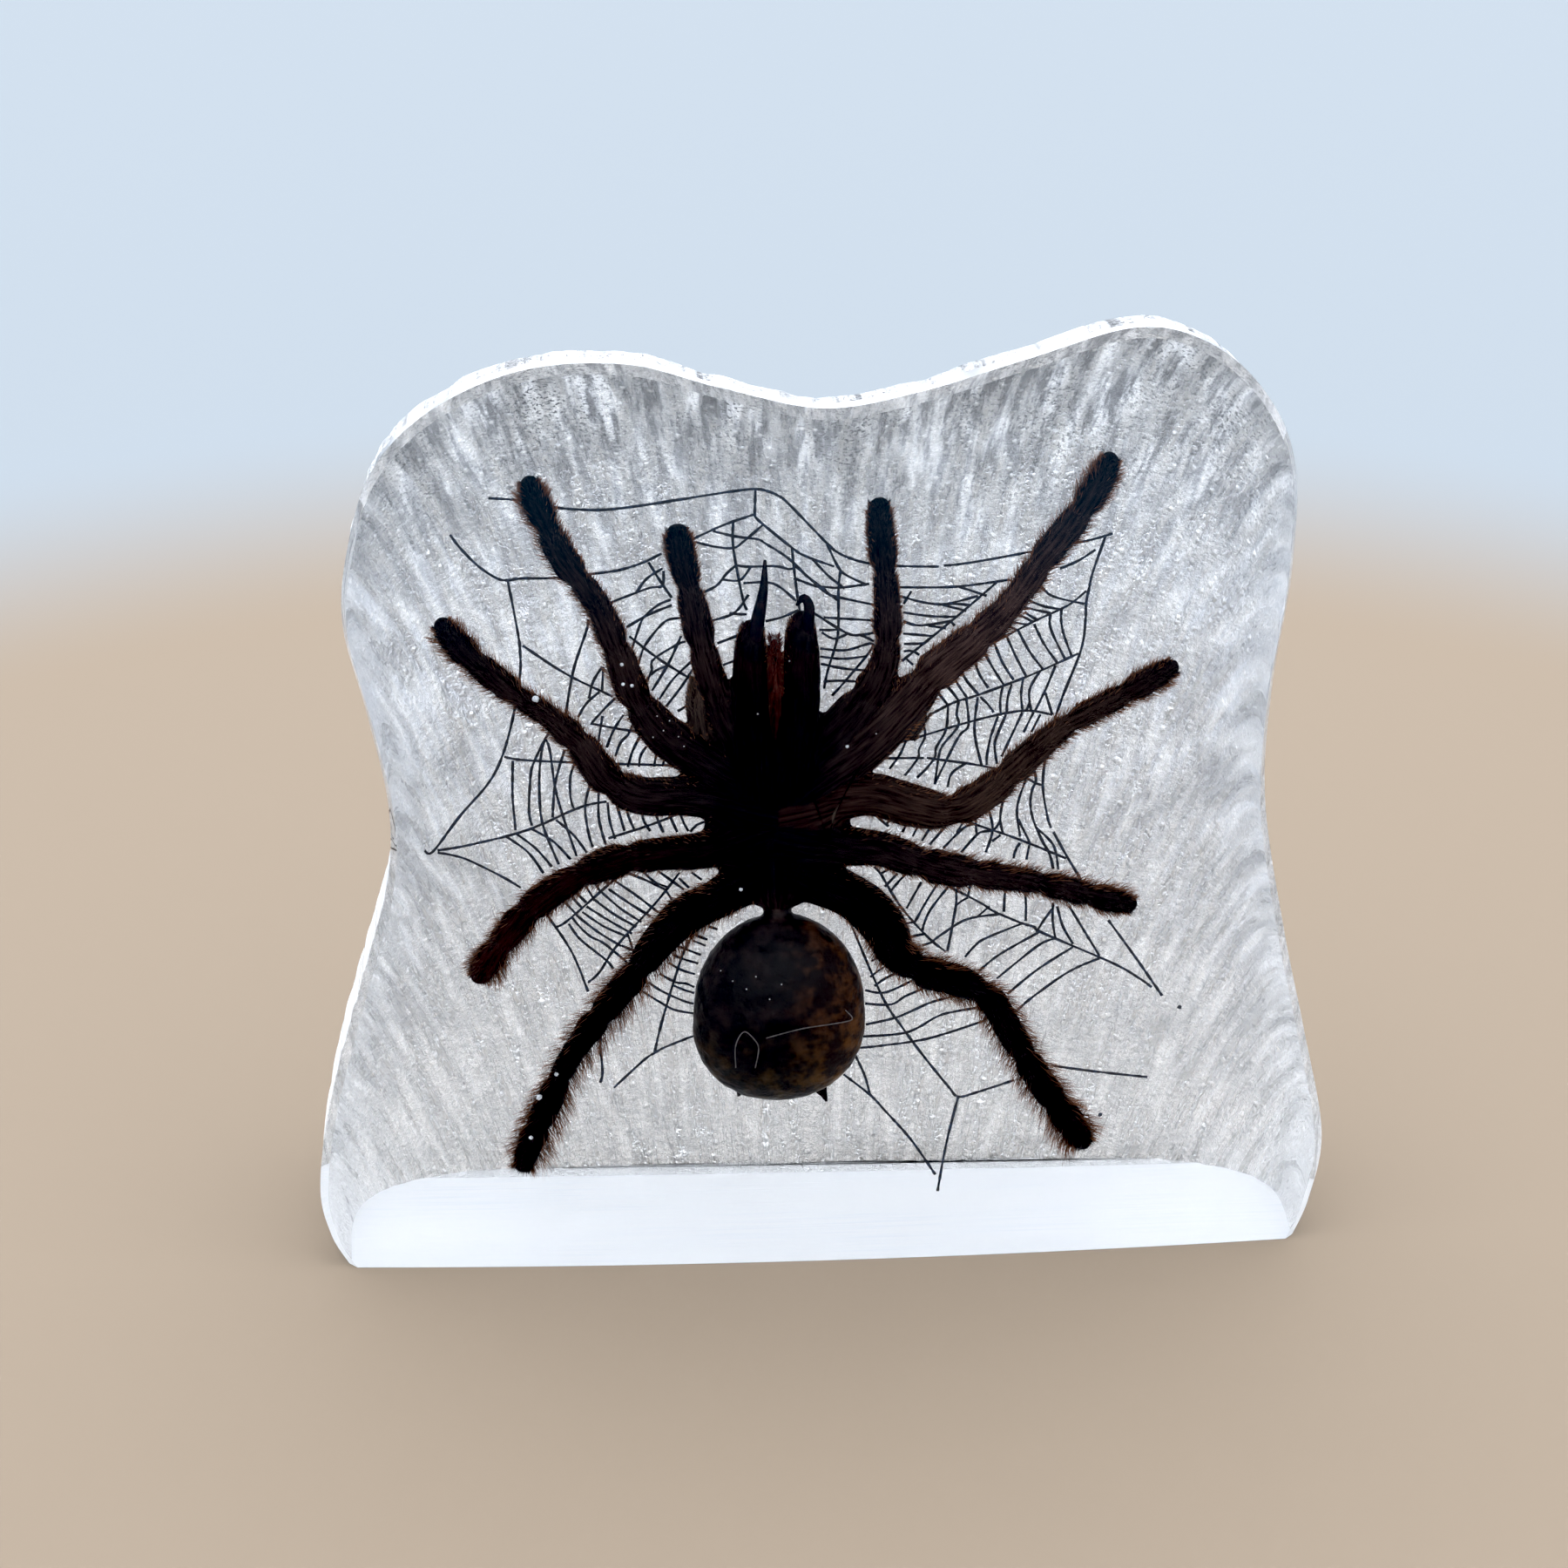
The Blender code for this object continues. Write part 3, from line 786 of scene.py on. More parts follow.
    def _relief(self, ring: np.ndarray, turn: np.ndarray, share: float) -> np.ndarray:
        """Ridges that run in from the outline, streaks, lumps and crust."""
        circle = 2 * np.pi * turn
        ridges = np.sin(17 * circle) + 0.7 * np.sin(29 * circle + 1.3)
        total = self.ridge * ridges * share**3
        flow = self._flow(ring[:, 0], ring[:, 1])
        runs = ((1.0, *self.streak_size), (self.fine_streak, *self.fine_streak_size))
        for i, ((x, z), (lane, along)) in enumerate(zip(ring, flow)):
            spot = Vector((x, z, 0.0))
            total[i] += self.lump * noise.noise(spot / self.lump_size)
            for high, wide, long, cut in runs:
                streak = noise.noise(Vector((lane / wide, along / long, cut)))
                total[i] += self.streak * high * streak
            coarse, fine = (noise.noise(spot / size) for size in self.crust_sizes)
            total[i] += self.crust * (coarse + 0.6 * fine)
        return total

    def _sheet(self, rows: int) -> bpy.types.Object:
        """Adds the flat grid that the block is shaped from."""
        select_none()
        bpy.ops.mesh.primitive_grid_add(x_subdivisions=self.sectors, y_subdivisions=rows, size=1.0)
        block = bpy.context.object
        block.name = block.data.name = "resin_block"
        return block

    def _lay(self, block: bpy.types.Object, rows: list) -> None:
        """Lays the grid's points on the rings, and keeps the way that the streaks run."""
        mesh = block.data
        spots = read(mesh.vertices, "co")
        across = np.rint((spots[:, 0] + 0.5) * self.sectors).astype(int)
        down = np.rint((spots[:, 1] + 0.5) * (len(rows) - 1)).astype(int)
        points = np.array(rows)[down, across]
        mesh.vertices.foreach_set("co", points.astype(np.float32).ravel())
        layer = mesh.uv_layers.active or mesh.uv_layers.new(name="flow")
        lay_flow(mesh, layer, self._flow(points[:, 0], points[:, 2]))
        self.grid = np.zeros((len(rows), self.sectors + 1), np.int64)
        self.grid[down, across] = np.arange(len(spots))

    def _close(self, block: bpy.types.Object, rows: int) -> None:
        """Closes the slits along both spines, and the flat base."""
        bm = bmesh.new()
        bm.from_mesh(block.data)
        bm.verts.ensure_lookup_table()
        last = self.sectors
        for row in (0, rows - 1):
            bm.faces.new([bm.verts[i] for i in self.grid[row]])
        for row in range(rows - 1):
            left, left_next = bm.verts[self.grid[row, 0]], bm.verts[self.grid[row + 1, 0]]
            right, right_next = bm.verts[self.grid[row, last]], bm.verts[self.grid[row + 1, last]]
            bm.faces.new((left, left_next, right_next, right))
        bmesh.ops.recalc_face_normals(bm, faces=bm.faces)
        bm.to_mesh(block.data)
        bm.free()

    def _assign(self, block: bpy.types.Object) -> None:
        """Gives the front, the cast surfaces and the base their finishes."""
        mesh = block.data
        normals, centres = read(mesh.polygons, "normal"), read(mesh.polygons, "center")
        depth = centres[:, 1] - self._front(centres[:, 0])
        slots = np.where(depth < self.rim * 0.98, 3, 1)
        slots[depth < self.bevel * 1.02] = 0
        ground = (normals[:, 2] < -0.99) & (centres[:, 2] < 0.0001)
        slots[ground & (depth < self.ground_depth)] = 2
        mesh.polygons.foreach_set("material_index", slots.astype(np.int32))
        mesh.update()


# A limb narrows at each joint and swells after it: millimetres, shares of its radius, and how
# many joint lengths after the joint the swelling is
JOINT_LENGTH = 0.75
JOINT_PINCH = 0.24
JOINT_SWELL = 0.07
SWELL_PLACE = 2.4


@dataclass(frozen=True)
class Limb:
    """One limb: its places, its coat of hair and its colours.

    Places are x, z, lift from the film, and radius, in millimetres. The fringe is the length of
    its longest hair at its root, middle and tip, on its left side and on its right, also in
    millimetres. Tints are colours from root to tip.
    """

    name: str
    places: tuple
    left: tuple = (0.8, 1.2, 0.8)
    right: tuple = (0.8, 1.2, 0.8)
    hair: Colour = (0.26, 0.105, 0.048)
    tints: tuple = ((0.004, 0.004, 0.005), (0.028, 0.017, 0.015), (0.007, 0.004, 0.004))
    joints: tuple = ()
    bare: bool = False

    def samples(self, step: float = 0.4) -> np.ndarray:
        """Samples the limb's middle line and radius about a step apart, in millimetres."""
        points = np.array(self.places)
        length = np.linalg.norm(np.diff(points[:, :3], axis=0), axis=1).sum()
        line = curve_through(points, max(6, int(length / step)))
        steps = np.linalg.norm(np.diff(line[:, :3], axis=0), axis=1)
        reach = np.concatenate(([0.0], np.cumsum(steps)))
        for joint in self.joints:
            away = (reach - joint * reach[-1]) / JOINT_LENGTH
            pinch, swell = np.exp(-(away**2)), np.exp(-((away - SWELL_PLACE) ** 2))
            line[:, 3] *= 1 - JOINT_PINCH * pinch + JOINT_SWELL * swell
        return line

    @staticmethod
    def spots(samples: np.ndarray) -> np.ndarray:
        """Turns samples into points of the block, in metres."""
        x, z, lift = samples[:, 0], samples[:, 1], samples[:, 2]
        return np.column_stack((x * MM, FACE_Y - lift * MM, z * MM))


LEG_JOINTS = (0.36, 0.52, 0.72, 0.87)
PALP_JOINTS = (0.30, 0.52, 0.76)
JAW_TINTS = ((0.0030, 0.0025, 0.0035), (0.0040, 0.0030, 0.0040), (0.0150, 0.0050, 0.0040))

LIMBS = (
    Limb("palp_left", (
        (-8.5, 63.5, 4.6, 2.4), (-11.6, 69.0, 4.8, 2.0), (-13.2, 74.5, 4.6, 1.75),
        (-14.5, 80.5, 3.9, 1.8), (-15.4, 85.0, 3.1, 1.5), (-16.2, 88.6, 2.4, 1.75),
        (-16.5, 90.9, 2.0, 1.2),
    ), joints=PALP_JOINTS, left=(0.5, 0.7, 0.9), right=(0.5, 0.7, 1.0)),
    Limb("palp_right", (
        (-2.0, 63.0, 4.6, 2.6), (4.2, 70.0, 4.8, 2.4), (6.8, 74.8, 4.7, 1.8),
        (7.2, 80.0, 4.0, 1.6), (6.9, 85.4, 3.0, 1.45), (6.4, 90.0, 2.4, 1.65),
        (6.2, 93.7, 1.9, 1.2),
    ), joints=PALP_JOINTS, left=(0.5, 0.8, 0.9), right=(0.5, 0.8, 0.9)),
    Limb("leg_1_left", (
        (-9.0, 60.5, 4.6, 3.0), (-14.0, 63.7, 5.0, 2.9), (-18.4, 67.0, 5.4, 2.5),
        (-21.6, 71.8, 5.4, 2.0), (-23.6, 77.6, 5.0, 1.8), (-25.6, 82.6, 4.3, 1.5),
        (-29.4, 88.2, 3.1, 1.7), (-31.0, 91.7, 2.5, 1.45), (-32.3, 94.8, 2.0, 1.6),
        (-32.9, 96.9, 1.8, 1.1),
    ), joints=LEG_JOINTS, left=(0.8, 1.4, 1.8), right=(0.6, 1.0, 1.4)),
    Limb("leg_2_left", (
        (-9.0, 57.5, 4.4, 3.0), (-15.3, 58.9, 4.8, 2.5), (-21.3, 59.3, 5.2, 2.4),
        (-25.2, 61.8, 5.2, 2.1), (-27.9, 65.7, 4.9, 1.9), (-31.2, 68.9, 4.2, 1.45),
        (-35.0, 71.6, 3.4, 1.5), (-39.2, 75.2, 2.6, 1.7), (-42.0, 78.2, 2.0, 1.6),
        (-43.2, 80.0, 1.8, 1.1),
    ), joints=LEG_JOINTS, left=(0.8, 1.2, 1.8), right=(0.6, 1.2, 1.7)),
    Limb("leg_3_left", (
        (-9.0, 54.0, 4.2, 2.8), (-13.5, 52.0, 4.6, 2.4), (-19.0, 51.7, 5.0, 2.1),
        (-24.5, 50.8, 5.0, 2.1), (-29.4, 48.4, 4.5, 1.8), (-33.4, 45.3, 3.9, 2.0),
        (-36.8, 41.2, 3.2, 1.8), (-39.2, 37.4, 2.3, 1.8), (-40.3, 35.4, 1.9, 1.2),
    ), joints=LEG_JOINTS, left=(0.8, 1.2, 1.8), right=(0.8, 1.6, 2.6),
        tints=((0.0050, 0.0040, 0.0045), (0.0150, 0.0060, 0.0045), (0.0275, 0.0070, 0.0045))),
    Limb("leg_4_left", (
        (-8.5, 48.0, 4.2, 3.0), (-12.4, 45.6, 4.6, 2.5), (-15.8, 44.0, 5.0, 2.5),
        (-19.0, 40.8, 5.2, 2.2), (-22.3, 36.0, 5.0, 1.8), (-25.9, 31.2, 4.6, 1.8),
        (-29.9, 25.0, 3.8, 1.45), (-32.4, 19.0, 3.0, 1.65), (-34.4, 14.2, 2.4, 1.7),
        (-35.9, 9.6, 1.9, 1.2),
    ), joints=LEG_JOINTS, left=(1.0, 2.2, 2.4), right=(1.0, 3.2, 3.4),
        tints=((0.0050, 0.0040, 0.0045), (0.0060, 0.0035, 0.0035), (0.0080, 0.0030, 0.0030))),
    Limb("leg_1_right", (
        (-2.0, 60.0, 4.6, 3.2), (4.6, 65.2, 5.0, 3.3), (9.2, 69.9, 5.4, 2.7),
        (12.9, 74.2, 5.5, 2.4), (17.0, 77.6, 5.2, 2.3), (21.2, 81.8, 4.6, 1.6),
        (25.0, 87.2, 3.6, 1.75), (28.8, 92.0, 2.7, 1.75), (31.2, 96.0, 2.1, 1.65),
        (32.2, 98.3, 1.8, 1.1),
    ), joints=LEG_JOINTS, left=(0.8, 1.3, 1.6), right=(0.8, 1.3, 1.6),
        tints=((0.004, 0.004, 0.005), (0.080, 0.048, 0.040), (0.010, 0.006, 0.006))),
    Limb("leg_2_right", (
        (-2.0, 57.5, 4.4, 3.0), (5.0, 58.6, 4.8, 2.7), (10.1, 57.2, 5.2, 2.7),
        (14.8, 56.4, 5.3, 2.2), (19.5, 59.0, 5.0, 2.1), (24.0, 63.2, 4.5, 1.8),
        (28.2, 66.5, 3.7, 1.45), (33.2, 69.1, 2.9, 1.5), (37.8, 71.5, 2.2, 1.6),
        (40.2, 72.8, 1.8, 1.1),
    ), joints=LEG_JOINTS, left=(0.8, 1.3, 1.2), right=(0.8, 1.3, 1.9),
        tints=((0.020, 0.009, 0.007), (0.060, 0.036, 0.026), (0.010, 0.006, 0.006))),
    Limb("leg_3_right", (
        (-3.0, 53.5, 4.2, 2.8), (2.6, 52.1, 4.6, 2.5), (6.8, 51.6, 5.0, 2.2),
        (11.2, 49.8, 5.1, 2.1), (15.6, 48.6, 4.9, 2.1), (20.4, 47.5, 4.3, 1.7),
        (25.0, 46.4, 3.5, 1.5), (29.8, 44.8, 2.8, 1.65), (33.8, 43.5, 2.2, 1.6),
        (36.4, 42.5, 1.9, 1.1),
    ), joints=LEG_JOINTS, left=(0.8, 1.4, 1.4), right=(0.8, 1.6, 2.0)),
    Limb("leg_4_right", (
        (-3.0, 48.5, 4.2, 3.0), (3.2, 45.6, 4.6, 2.8), (6.8, 42.0, 5.0, 2.8),
        (8.6, 38.2, 5.2, 2.3), (12.0, 35.7, 5.2, 2.1), (16.0, 34.2, 5.0, 2.0),
        (19.6, 31.8, 4.6, 1.7), (22.2, 27.2, 4.0, 1.75), (25.3, 21.3, 3.1, 1.7),
        (28.3, 16.4, 2.5, 1.85), (30.6, 12.8, 2.1, 1.7), (31.7, 10.8, 1.8, 1.1),
    ), joints=LEG_JOINTS, left=(1.0, 2.4, 3.4), right=(1.0, 2.2, 2.6),
        tints=((0.0050, 0.0040, 0.0045), (0.0060, 0.0035, 0.0035), (0.0080, 0.0035, 0.0030))),
    Limb("chelicera_left", (
        (-8.0, 62.0, 5.6, 2.6), (-8.4, 68.0, 6.0, 2.3), (-8.5, 74.5, 6.0, 2.1),
        (-8.4, 78.6, 5.6, 1.7), (-8.3, 80.0, 5.4, 1.0),
    ), left=(0.3, 0.3, 0.5), right=(0.3, 0.5, 0.6),
        tints=JAW_TINTS),
    Limb("chelicera_right", (
        (-3.4, 62.0, 5.6, 2.6), (-3.0, 68.0, 6.0, 2.4), (-2.7, 74.5, 6.0, 2.25),
        (-2.7, 79.2, 5.6, 1.8), (-2.7, 80.8, 5.4, 1.1),
    ), left=(0.3, 0.5, 0.6), right=(0.3, 0.3, 0.5),
        tints=JAW_TINTS),
    Limb("fang_left", (
        (-8.1, 77.5, 6.2, 0.9), (-7.7, 80.6, 6.6, 0.85), (-7.0, 84.6, 6.6, 0.55),
        (-6.8, 88.0, 6.2, 0.2),
    ), bare=True),
    Limb("fang_right", (
        (-2.2, 78.5, 6.2, 0.8), (-1.9, 81.2, 6.8, 0.7), (-1.9, 82.8, 7.0, 0.6),
        (-2.5, 83.7, 7.0, 0.5), (-3.2, 82.9, 7.0, 0.2),
    ), bare=True),
    Limb("furrow", (
        (-5.7, 67.0, 4.4, 0.9), (-5.6, 73.0, 4.9, 0.8), (-5.7, 78.6, 4.5, 0.5),
    ), left=(0.8, 1.0, 0.8), right=(0.8, 1.0, 0.8), hair=(0.16, 0.045, 0.030),
        tints=((0.02, 0.006, 0.005), (0.08, 0.02, 0.014), (0.08, 0.02, 0.014))),
    Limb("lobe_left", (
        (-13.9, 66.3, 3.6, 1.2), (-14.5, 70.0, 3.8, 1.35), (-14.3, 73.4, 3.5, 0.9),
    ), left=(0.5, 0.5, 0.5), right=(0.5, 0.5, 0.5),
        tints=((0.03, 0.02, 0.016), (0.07, 0.05, 0.04), (0.06, 0.035, 0.022))),
    Limb("lobe_right", (
        (9.4, 65.4, 3.8, 1.3), (11.4, 68.9, 3.8, 1.2),
    ), left=(0.5, 0.5, 0.5), right=(0.5, 0.5, 0.5),
        tints=((0.03, 0.02, 0.016), (0.08, 0.07, 0.065))),
    Limb("waist", (
        (-5.6, 48.0, 4.2, 2.2), (-5.4, 43.8, 4.2, 1.6), (-5.2, 40.0, 4.6, 2.2),
    ), bare=True),
    Limb("spinneret_left", (
        (-8.6, 24.0, 4.0, 1.3), (-9.3, 21.2, 3.6, 0.9), (-10.1, 19.1, 3.2, 0.35),
    ), bare=True),
    Limb("spinneret_right", (
        (-1.4, 24.0, 4.0, 1.3), (-0.4, 20.6, 3.6, 0.9), (0.5, 18.2, 3.2, 0.35),
    ), bare=True),
)

CARAPACE = ((-5.3, 57.2, 4.0), (8.5, 13.2, 4.4), (0.30, 0.05))
ABDOMEN = ((-5.2, 31.3, 4.7), (10.1, 12.3, 5.4), (0.0, 0.16))


@dataclass
class Tarantula:
    """The dried spider's body and limbs, in one skin.

    The abdomen's own skin and its rust begin where a point is further from every limb's middle
    line than so many of the limb's radii.
    """

    limbs: tuple = LIMBS
    voxel: float = 0.00036
    lump: float = 0.00010
    lump_sizes: tuple = (0.0016, 0.0007)
    blunt: int = 3
    bare_from: float = 1.2
    rust_from: float = 1.25

    def build(self) -> bpy.types.Object:
        """Models the spider without its hair.

        Returns:
            The skin, which stands for the solid.
        """
        parts = [self._egg("carapace", *CARAPACE), self._egg("abdomen", *ABDOMEN)]
        fangs = [self._tube(limb) for limb in self.limbs if limb.name.startswith("fang")]
        parts += [self._tube(limb) for limb in self.limbs if not limb.name.startswith("fang")]
        skin = join(parts, "tarantula_skin")
        melt = skin.modifiers.new("melt", "REMESH")
        melt.mode = "VOXEL"
        melt.voxel_size = self.voxel
        melt.use_smooth_shade = True
        ease = skin.modifiers.new("ease", "SMOOTH")
        ease.factor = 0.5
        ease.iterations = 4
        keep_modifiers(skin)
        self._dress(skin)
        horn = FangHorn().material()
        for fang in fangs:
            fang.data.materials.append(horn)
            smooth(fang)
        return join([skin, *fangs], "tarantula_skin")

    def _egg(self, name: str, middle: tuple, half: tuple, fuller: tuple) -> bpy.types.Object:
        """Adds an egg-shaped part of the body.

        Args:
            name: what the part is called.
            middle: x, z and lift of its middle, in millimetres.
            half: its half sizes across, up and towards the front, in millimetres.
            fuller: how much wider its upper and lower halves are than an ellipsoid's.

        Returns:
            The part.
        """
        select_none()
        bpy.ops.mesh.primitive_uv_sphere_add(segments=48, ring_count=32, radius=1.0)
        part = bpy.context.object
        part.name = name
        across, up, deep = (value * MM for value in half)
        x, z, lift = middle
        for vert in part.data.vertices:
            wide = 1 + fuller[0 if vert.co.z > 0 else 1] * abs(vert.co.z)
            vert.co.x = vert.co.x * across * wide + x * MM
            vert.co.y = min(vert.co.y * deep + FACE_Y - lift * MM, FACE_Y - 0.0002)
            vert.co.z = vert.co.z * up + z * MM
        return part

    def _tube(self, limb: Limb) -> bpy.types.Object:
        """Adds a limb as a smooth tapering tube with a blunt tip."""
        samples = limb.samples()
        if not limb.bare:
            samples = samples[: -self.blunt]
        last = samples[-1]
        way = last[:3] - samples[-2, :3]
        way /= max(np.linalg.norm(way), 1e-6)
        for out in (0.35, 0.62, 0.82, 0.95):
            ring = np.append(last[:3] + way * out * last[3], last[3] * math.sqrt(1 - out**2))
            samples = np.vstack((samples, ring))
        return tubes(limb.name, [np.column_stack((limb.spots(samples), samples[:, 3]))], MM, 4)

    def _dress(self, skin: bpy.types.Object) -> None:
        """Lays streak coordinates, colours, lumps and finishes on the skin."""
        mesh = skin.data
        spots, normals = read(mesh.vertices, "co"), read(mesh.vertices, "normal")
        guide = LimbGuide(self.limbs)
        nearest = [guide.nearest(spot) for spot in spots]
        tints = np.array([self._tint(spot, found) for spot, found in zip(spots, nearest)])
        paint(skin, "tint", tints)
        for i, spot in enumerate(spots):
            coarse, fine = (noise.noise(Vector(spot) / size) for size in self.lump_sizes)
            lump = coarse + 0.5 * fine
            spots[i] += normals[i] * lump * self.lump
        spots[:, 1] = np.minimum(spots[:, 1], FACE_Y)
        mesh.vertices.foreach_set("co", spots.ravel())
        ways = np.array([(found[1] * MM, found[2]) for found in nearest])
        lay_flow(mesh, mesh.uv_layers.new(name="flow"), ways)
        for finish in (Hide(), AbdomenSkin()):
            mesh.materials.append(finish.material())
        slots = [self._slot(nearest[face.vertices[0]], face.center) for face in mesh.polygons]
        mesh.polygons.foreach_set("material_index", slots)
        mesh.update()

    def _slot(self, found: tuple, centre: Vector) -> int:
        """Picks the finish of one face: hide or abdomen skin."""
        name = self.limbs[found[0]].name
        x, z = ABDOMEN[0][0] * MM, ABDOMEN[0][1] * MM
        across, up = ABDOMEN[1][0] * MM * 1.1, ABDOMEN[1][1] * MM * 1.02
        inside = ((centre.x - x) / across) ** 2 + ((centre.z - z) / up) ** 2 < 1.08
        return 1 if inside and (name in ("waist", "abdomen") or found[3] > self.bare_from) else 0

    def _tint(self, spot: np.ndarray, found: tuple) -> tuple:
        """Colours one point of the skin by the limb that it lies on."""
        limb = self.limbs[found[0]]
        x, z = spot[0] / MM, spot[2] / MM
        (middle_x, middle_z, _), (across, up, _), _ = ABDOMEN
        near = abs(z - middle_z) < up * 1.1 and abs(x - middle_x) < across * 1.2
        if near and found[3] > self.rust_from:
            right = max(0.0, (x - middle_x) / across)
            low = max(0.0, (middle_z - z) / up)
            return (0.010 + 0.07 * right + 0.03 * low, 0.006 + 0.022 * right + 0.018 * low, 0.006)
        share = found[1] / max(found[4], 1e-6)
        stops = np.array(limb.tints)
        places = np.linspace(0.0, 1.0, len(stops))
        return tuple(np.interp(share, places, stops[:, k]) for k in range(3))


class LimbGuide:
    """Finds the limb that a point lies on."""

    def __init__(self, limbs: Iterable[Limb]) -> None:
        """Indexes the limbs' middle lines.

        Args:
            limbs: all the limbs.
        """
        self.rows = []
        for number, limb in enumerate(limbs):
            samples = limb.samples()
            spots = limb.spots(samples)
            steps = np.linalg.norm(np.diff(spots, axis=0), axis=1) / MM
            reach = np.concatenate(([0.0], np.cumsum(steps)))
            tangents = np.gradient(spots, axis=0)
            for spot, radius, along, way in zip(spots, samples[:, 3], reach, tangents):
                self.rows.append((spot, radius, number, along, reach[-1], way))
        self.tree = kdtree.KDTree(len(self.rows))
        for index, row in enumerate(self.rows):
            self.tree.insert(row[0], index)
        self.tree.balance()

    def nearest(self, spot: np.ndarray) -> tuple[int, float, float, float, float]:
        """Says which limb is nearest.

        Args:
            spot: a point, in metres.

        Returns:
            The limb's number, how far along it the point is in millimetres, how far round it in
            metres, its distance over the limb's radius, and the limb's length in millimetres.
        """
        _, index, distance = self.tree.find(spot)
        middle, radius, number, along, length, way = self.rows[index]
        away = np.asarray(spot) - middle
        side = np.cross(way, (0.0, 1.0, 0.0))
        side /= max(np.linalg.norm(side), 1e-9)
        angle = math.atan2(float(away @ side), -float(away[1]))
        return number, along, angle * radius * MM, distance / (radius * MM), length


@dataclass
class HairCoat:
    """Hairs on a set of limbs: a dense flat pile, and a longer fringe down both sides.

    Counts are per millimetre of limb, roots and lengths are in millimetres, and lifts in degrees.
    Towards a limb's tip the fringe is short. A root's depth is a share of the limb's radius.
    """

    name: str
    starts: tuple
    pile: float = 80.0
    fringe: float = 44.0
    pile_root: float = 0.045
    fringe_root: float = 0.036
    pile_length: tuple = (0.4, 0.9)
    pile_lift: tuple = (10, 34)
    fringe_lift: tuple = (32, 66)
    tip: float = 0.94
    tip_length: float = 0.45
    stray: float = 0.16
    bend: float = 0.35
    depth: float = 0.85
    seed: int = 5
    film: float = FACE_Y - 0.00004

    def build(self, limbs: Iterable[Limb]) -> bpy.types.Object:
        """Grows the hairs.

        Args:
            limbs: all the limbs, of which those named in starts are haired.

        Returns:
            The hairs as one piece.
        """
        chance = np.random.default_rng(self.seed)
        own = [limb for limb in limbs if not limb.bare and limb.name.startswith(self.starts)]
        points, faces, tints, first = [], [], [], 0
        for limb in own:
            for long in (False, True):
                hairs, colours = self._grow(limb, chance, long)
                corners = hairs.shape[1]
                pattern = np.array(self._pattern(long))
                starts = first + np.arange(len(hairs))[:, None, None] * corners
                points.append(hairs.reshape(-1, 3))
                faces.append((starts + pattern).reshape(-1, 3))
                tints.append(colours.reshape(-1, 3))
                first += hairs.shape[0] * corners
        coat = piece_from(self.name, np.vstack(points), np.vstack(faces))
        paint(coat, "tint", np.vstack(tints))
        coat.data.materials.append(HairColour().material())
        return coat

    @staticmethod
    def _pattern(long: bool) -> tuple:
        """Gives the corners of a hair's faces: a bent spike, or a short straight one."""
        if long:
            return (
                (0, 1, 4), (0, 4, 3), (1, 2, 5), (1, 5, 4), (2, 0, 3), (2, 3, 5),
                (3, 4, 6), (4, 5, 6), (5, 3, 6), (0, 2, 1),
            )
        return ((0, 1, 3), (1, 2, 3), (2, 0, 3), (0, 2, 1))

    def _grow(self, limb: Limb, chance: np.random.Generator, long: bool) -> tuple:
        """Grows the pile or the fringe of one limb.

        Args:
            limb: the limb that it stands on.
            chance: the source of random numbers.
            long: whether this is the fringe.

        Returns:
            The points of each hair, and their colours.
        """
        samples = limb.samples()
        spots = limb.spots(samples)
        ways = unit(np.gradient(spots, axis=0))
        length = np.linalg.norm(np.diff(spots, axis=0), axis=1).sum() / MM
        count = int(length * (self.fringe if long else self.pile))
        share = chance.random(count) ** 0.9
        place = share * (len(spots) - 1.001)
        index = place.astype(int)
        part = (place - index)[:, None]
        middle = spots[index] * (1 - part) + spots[index + 1] * part
        radius = (samples[index, 3:] * (1 - part) + samples[index + 1, 3:] * part) * MM
        way = ways[index]
        side = unit(np.cross(way, (0.0, 1.0, 0.0)))
        front = np.cross(side, way)
        front *= -np.sign(front[:, 1:2])
        if long:
            side_of = np.sign(chance.uniform(-1, 1, count))
            turn = side_of * (math.pi / 2 + chance.normal(-0.12, 0.30, count))
        else:
            turn = chance.uniform(-1.9, 1.9, count)
        out = side * np.sin(turn)[:, None] + front * np.cos(turn)[:, None]
        rightwards = out[:, 0] > 0
        stops = (0.0, 0.5, 1.0)
        most = np.where(
            rightwards, np.interp(share, stops, limb.right), np.interp(share, stops, limb.left)
        )
        if long:
            short = np.where(share > self.tip, self.tip_length, 1.0)
            size = most * chance.uniform(0.5, 1.25, count) * short
            lift = np.radians(chance.uniform(*self.fringe_lift, count))
        else:
            size = chance.uniform(*self.pile_length, count)
            lift = np.radians(chance.uniform(*self.pile_lift, count))
        stray = chance.uniform(-self.stray, self.stray, (count, 3))
        aim = unit(out * np.sin(lift)[:, None] + way * np.cos(lift)[:, None] + stray)
        bent = unit(aim + way * self.bend)
        root = middle + out * radius * self.depth
        half = (size * MM / 2)[:, None]
        across = unit(np.cross(aim, out + stray))
        other = unit(np.cross(across, aim))
        thick = (self.fringe_root if long else self.pile_root) * MM
        rings = ((root, thick), (root + aim * half, thick * 0.8)) if long else ((root, thick),)
        hair = []
        for centre, width in rings:
            for corner in range(3):
                angle = corner * 2 * math.pi / 3
                hair.append(centre + (across * math.cos(angle) + other * math.sin(angle)) * width)
        hair.append(root + aim * half + (bent if long else aim) * half)
        hairs = np.stack(hair, axis=1)
        hairs[:, :, 1] = np.minimum(hairs[:, :, 1], self.film)
        return hairs, self._colours(limb, chance, share, long)

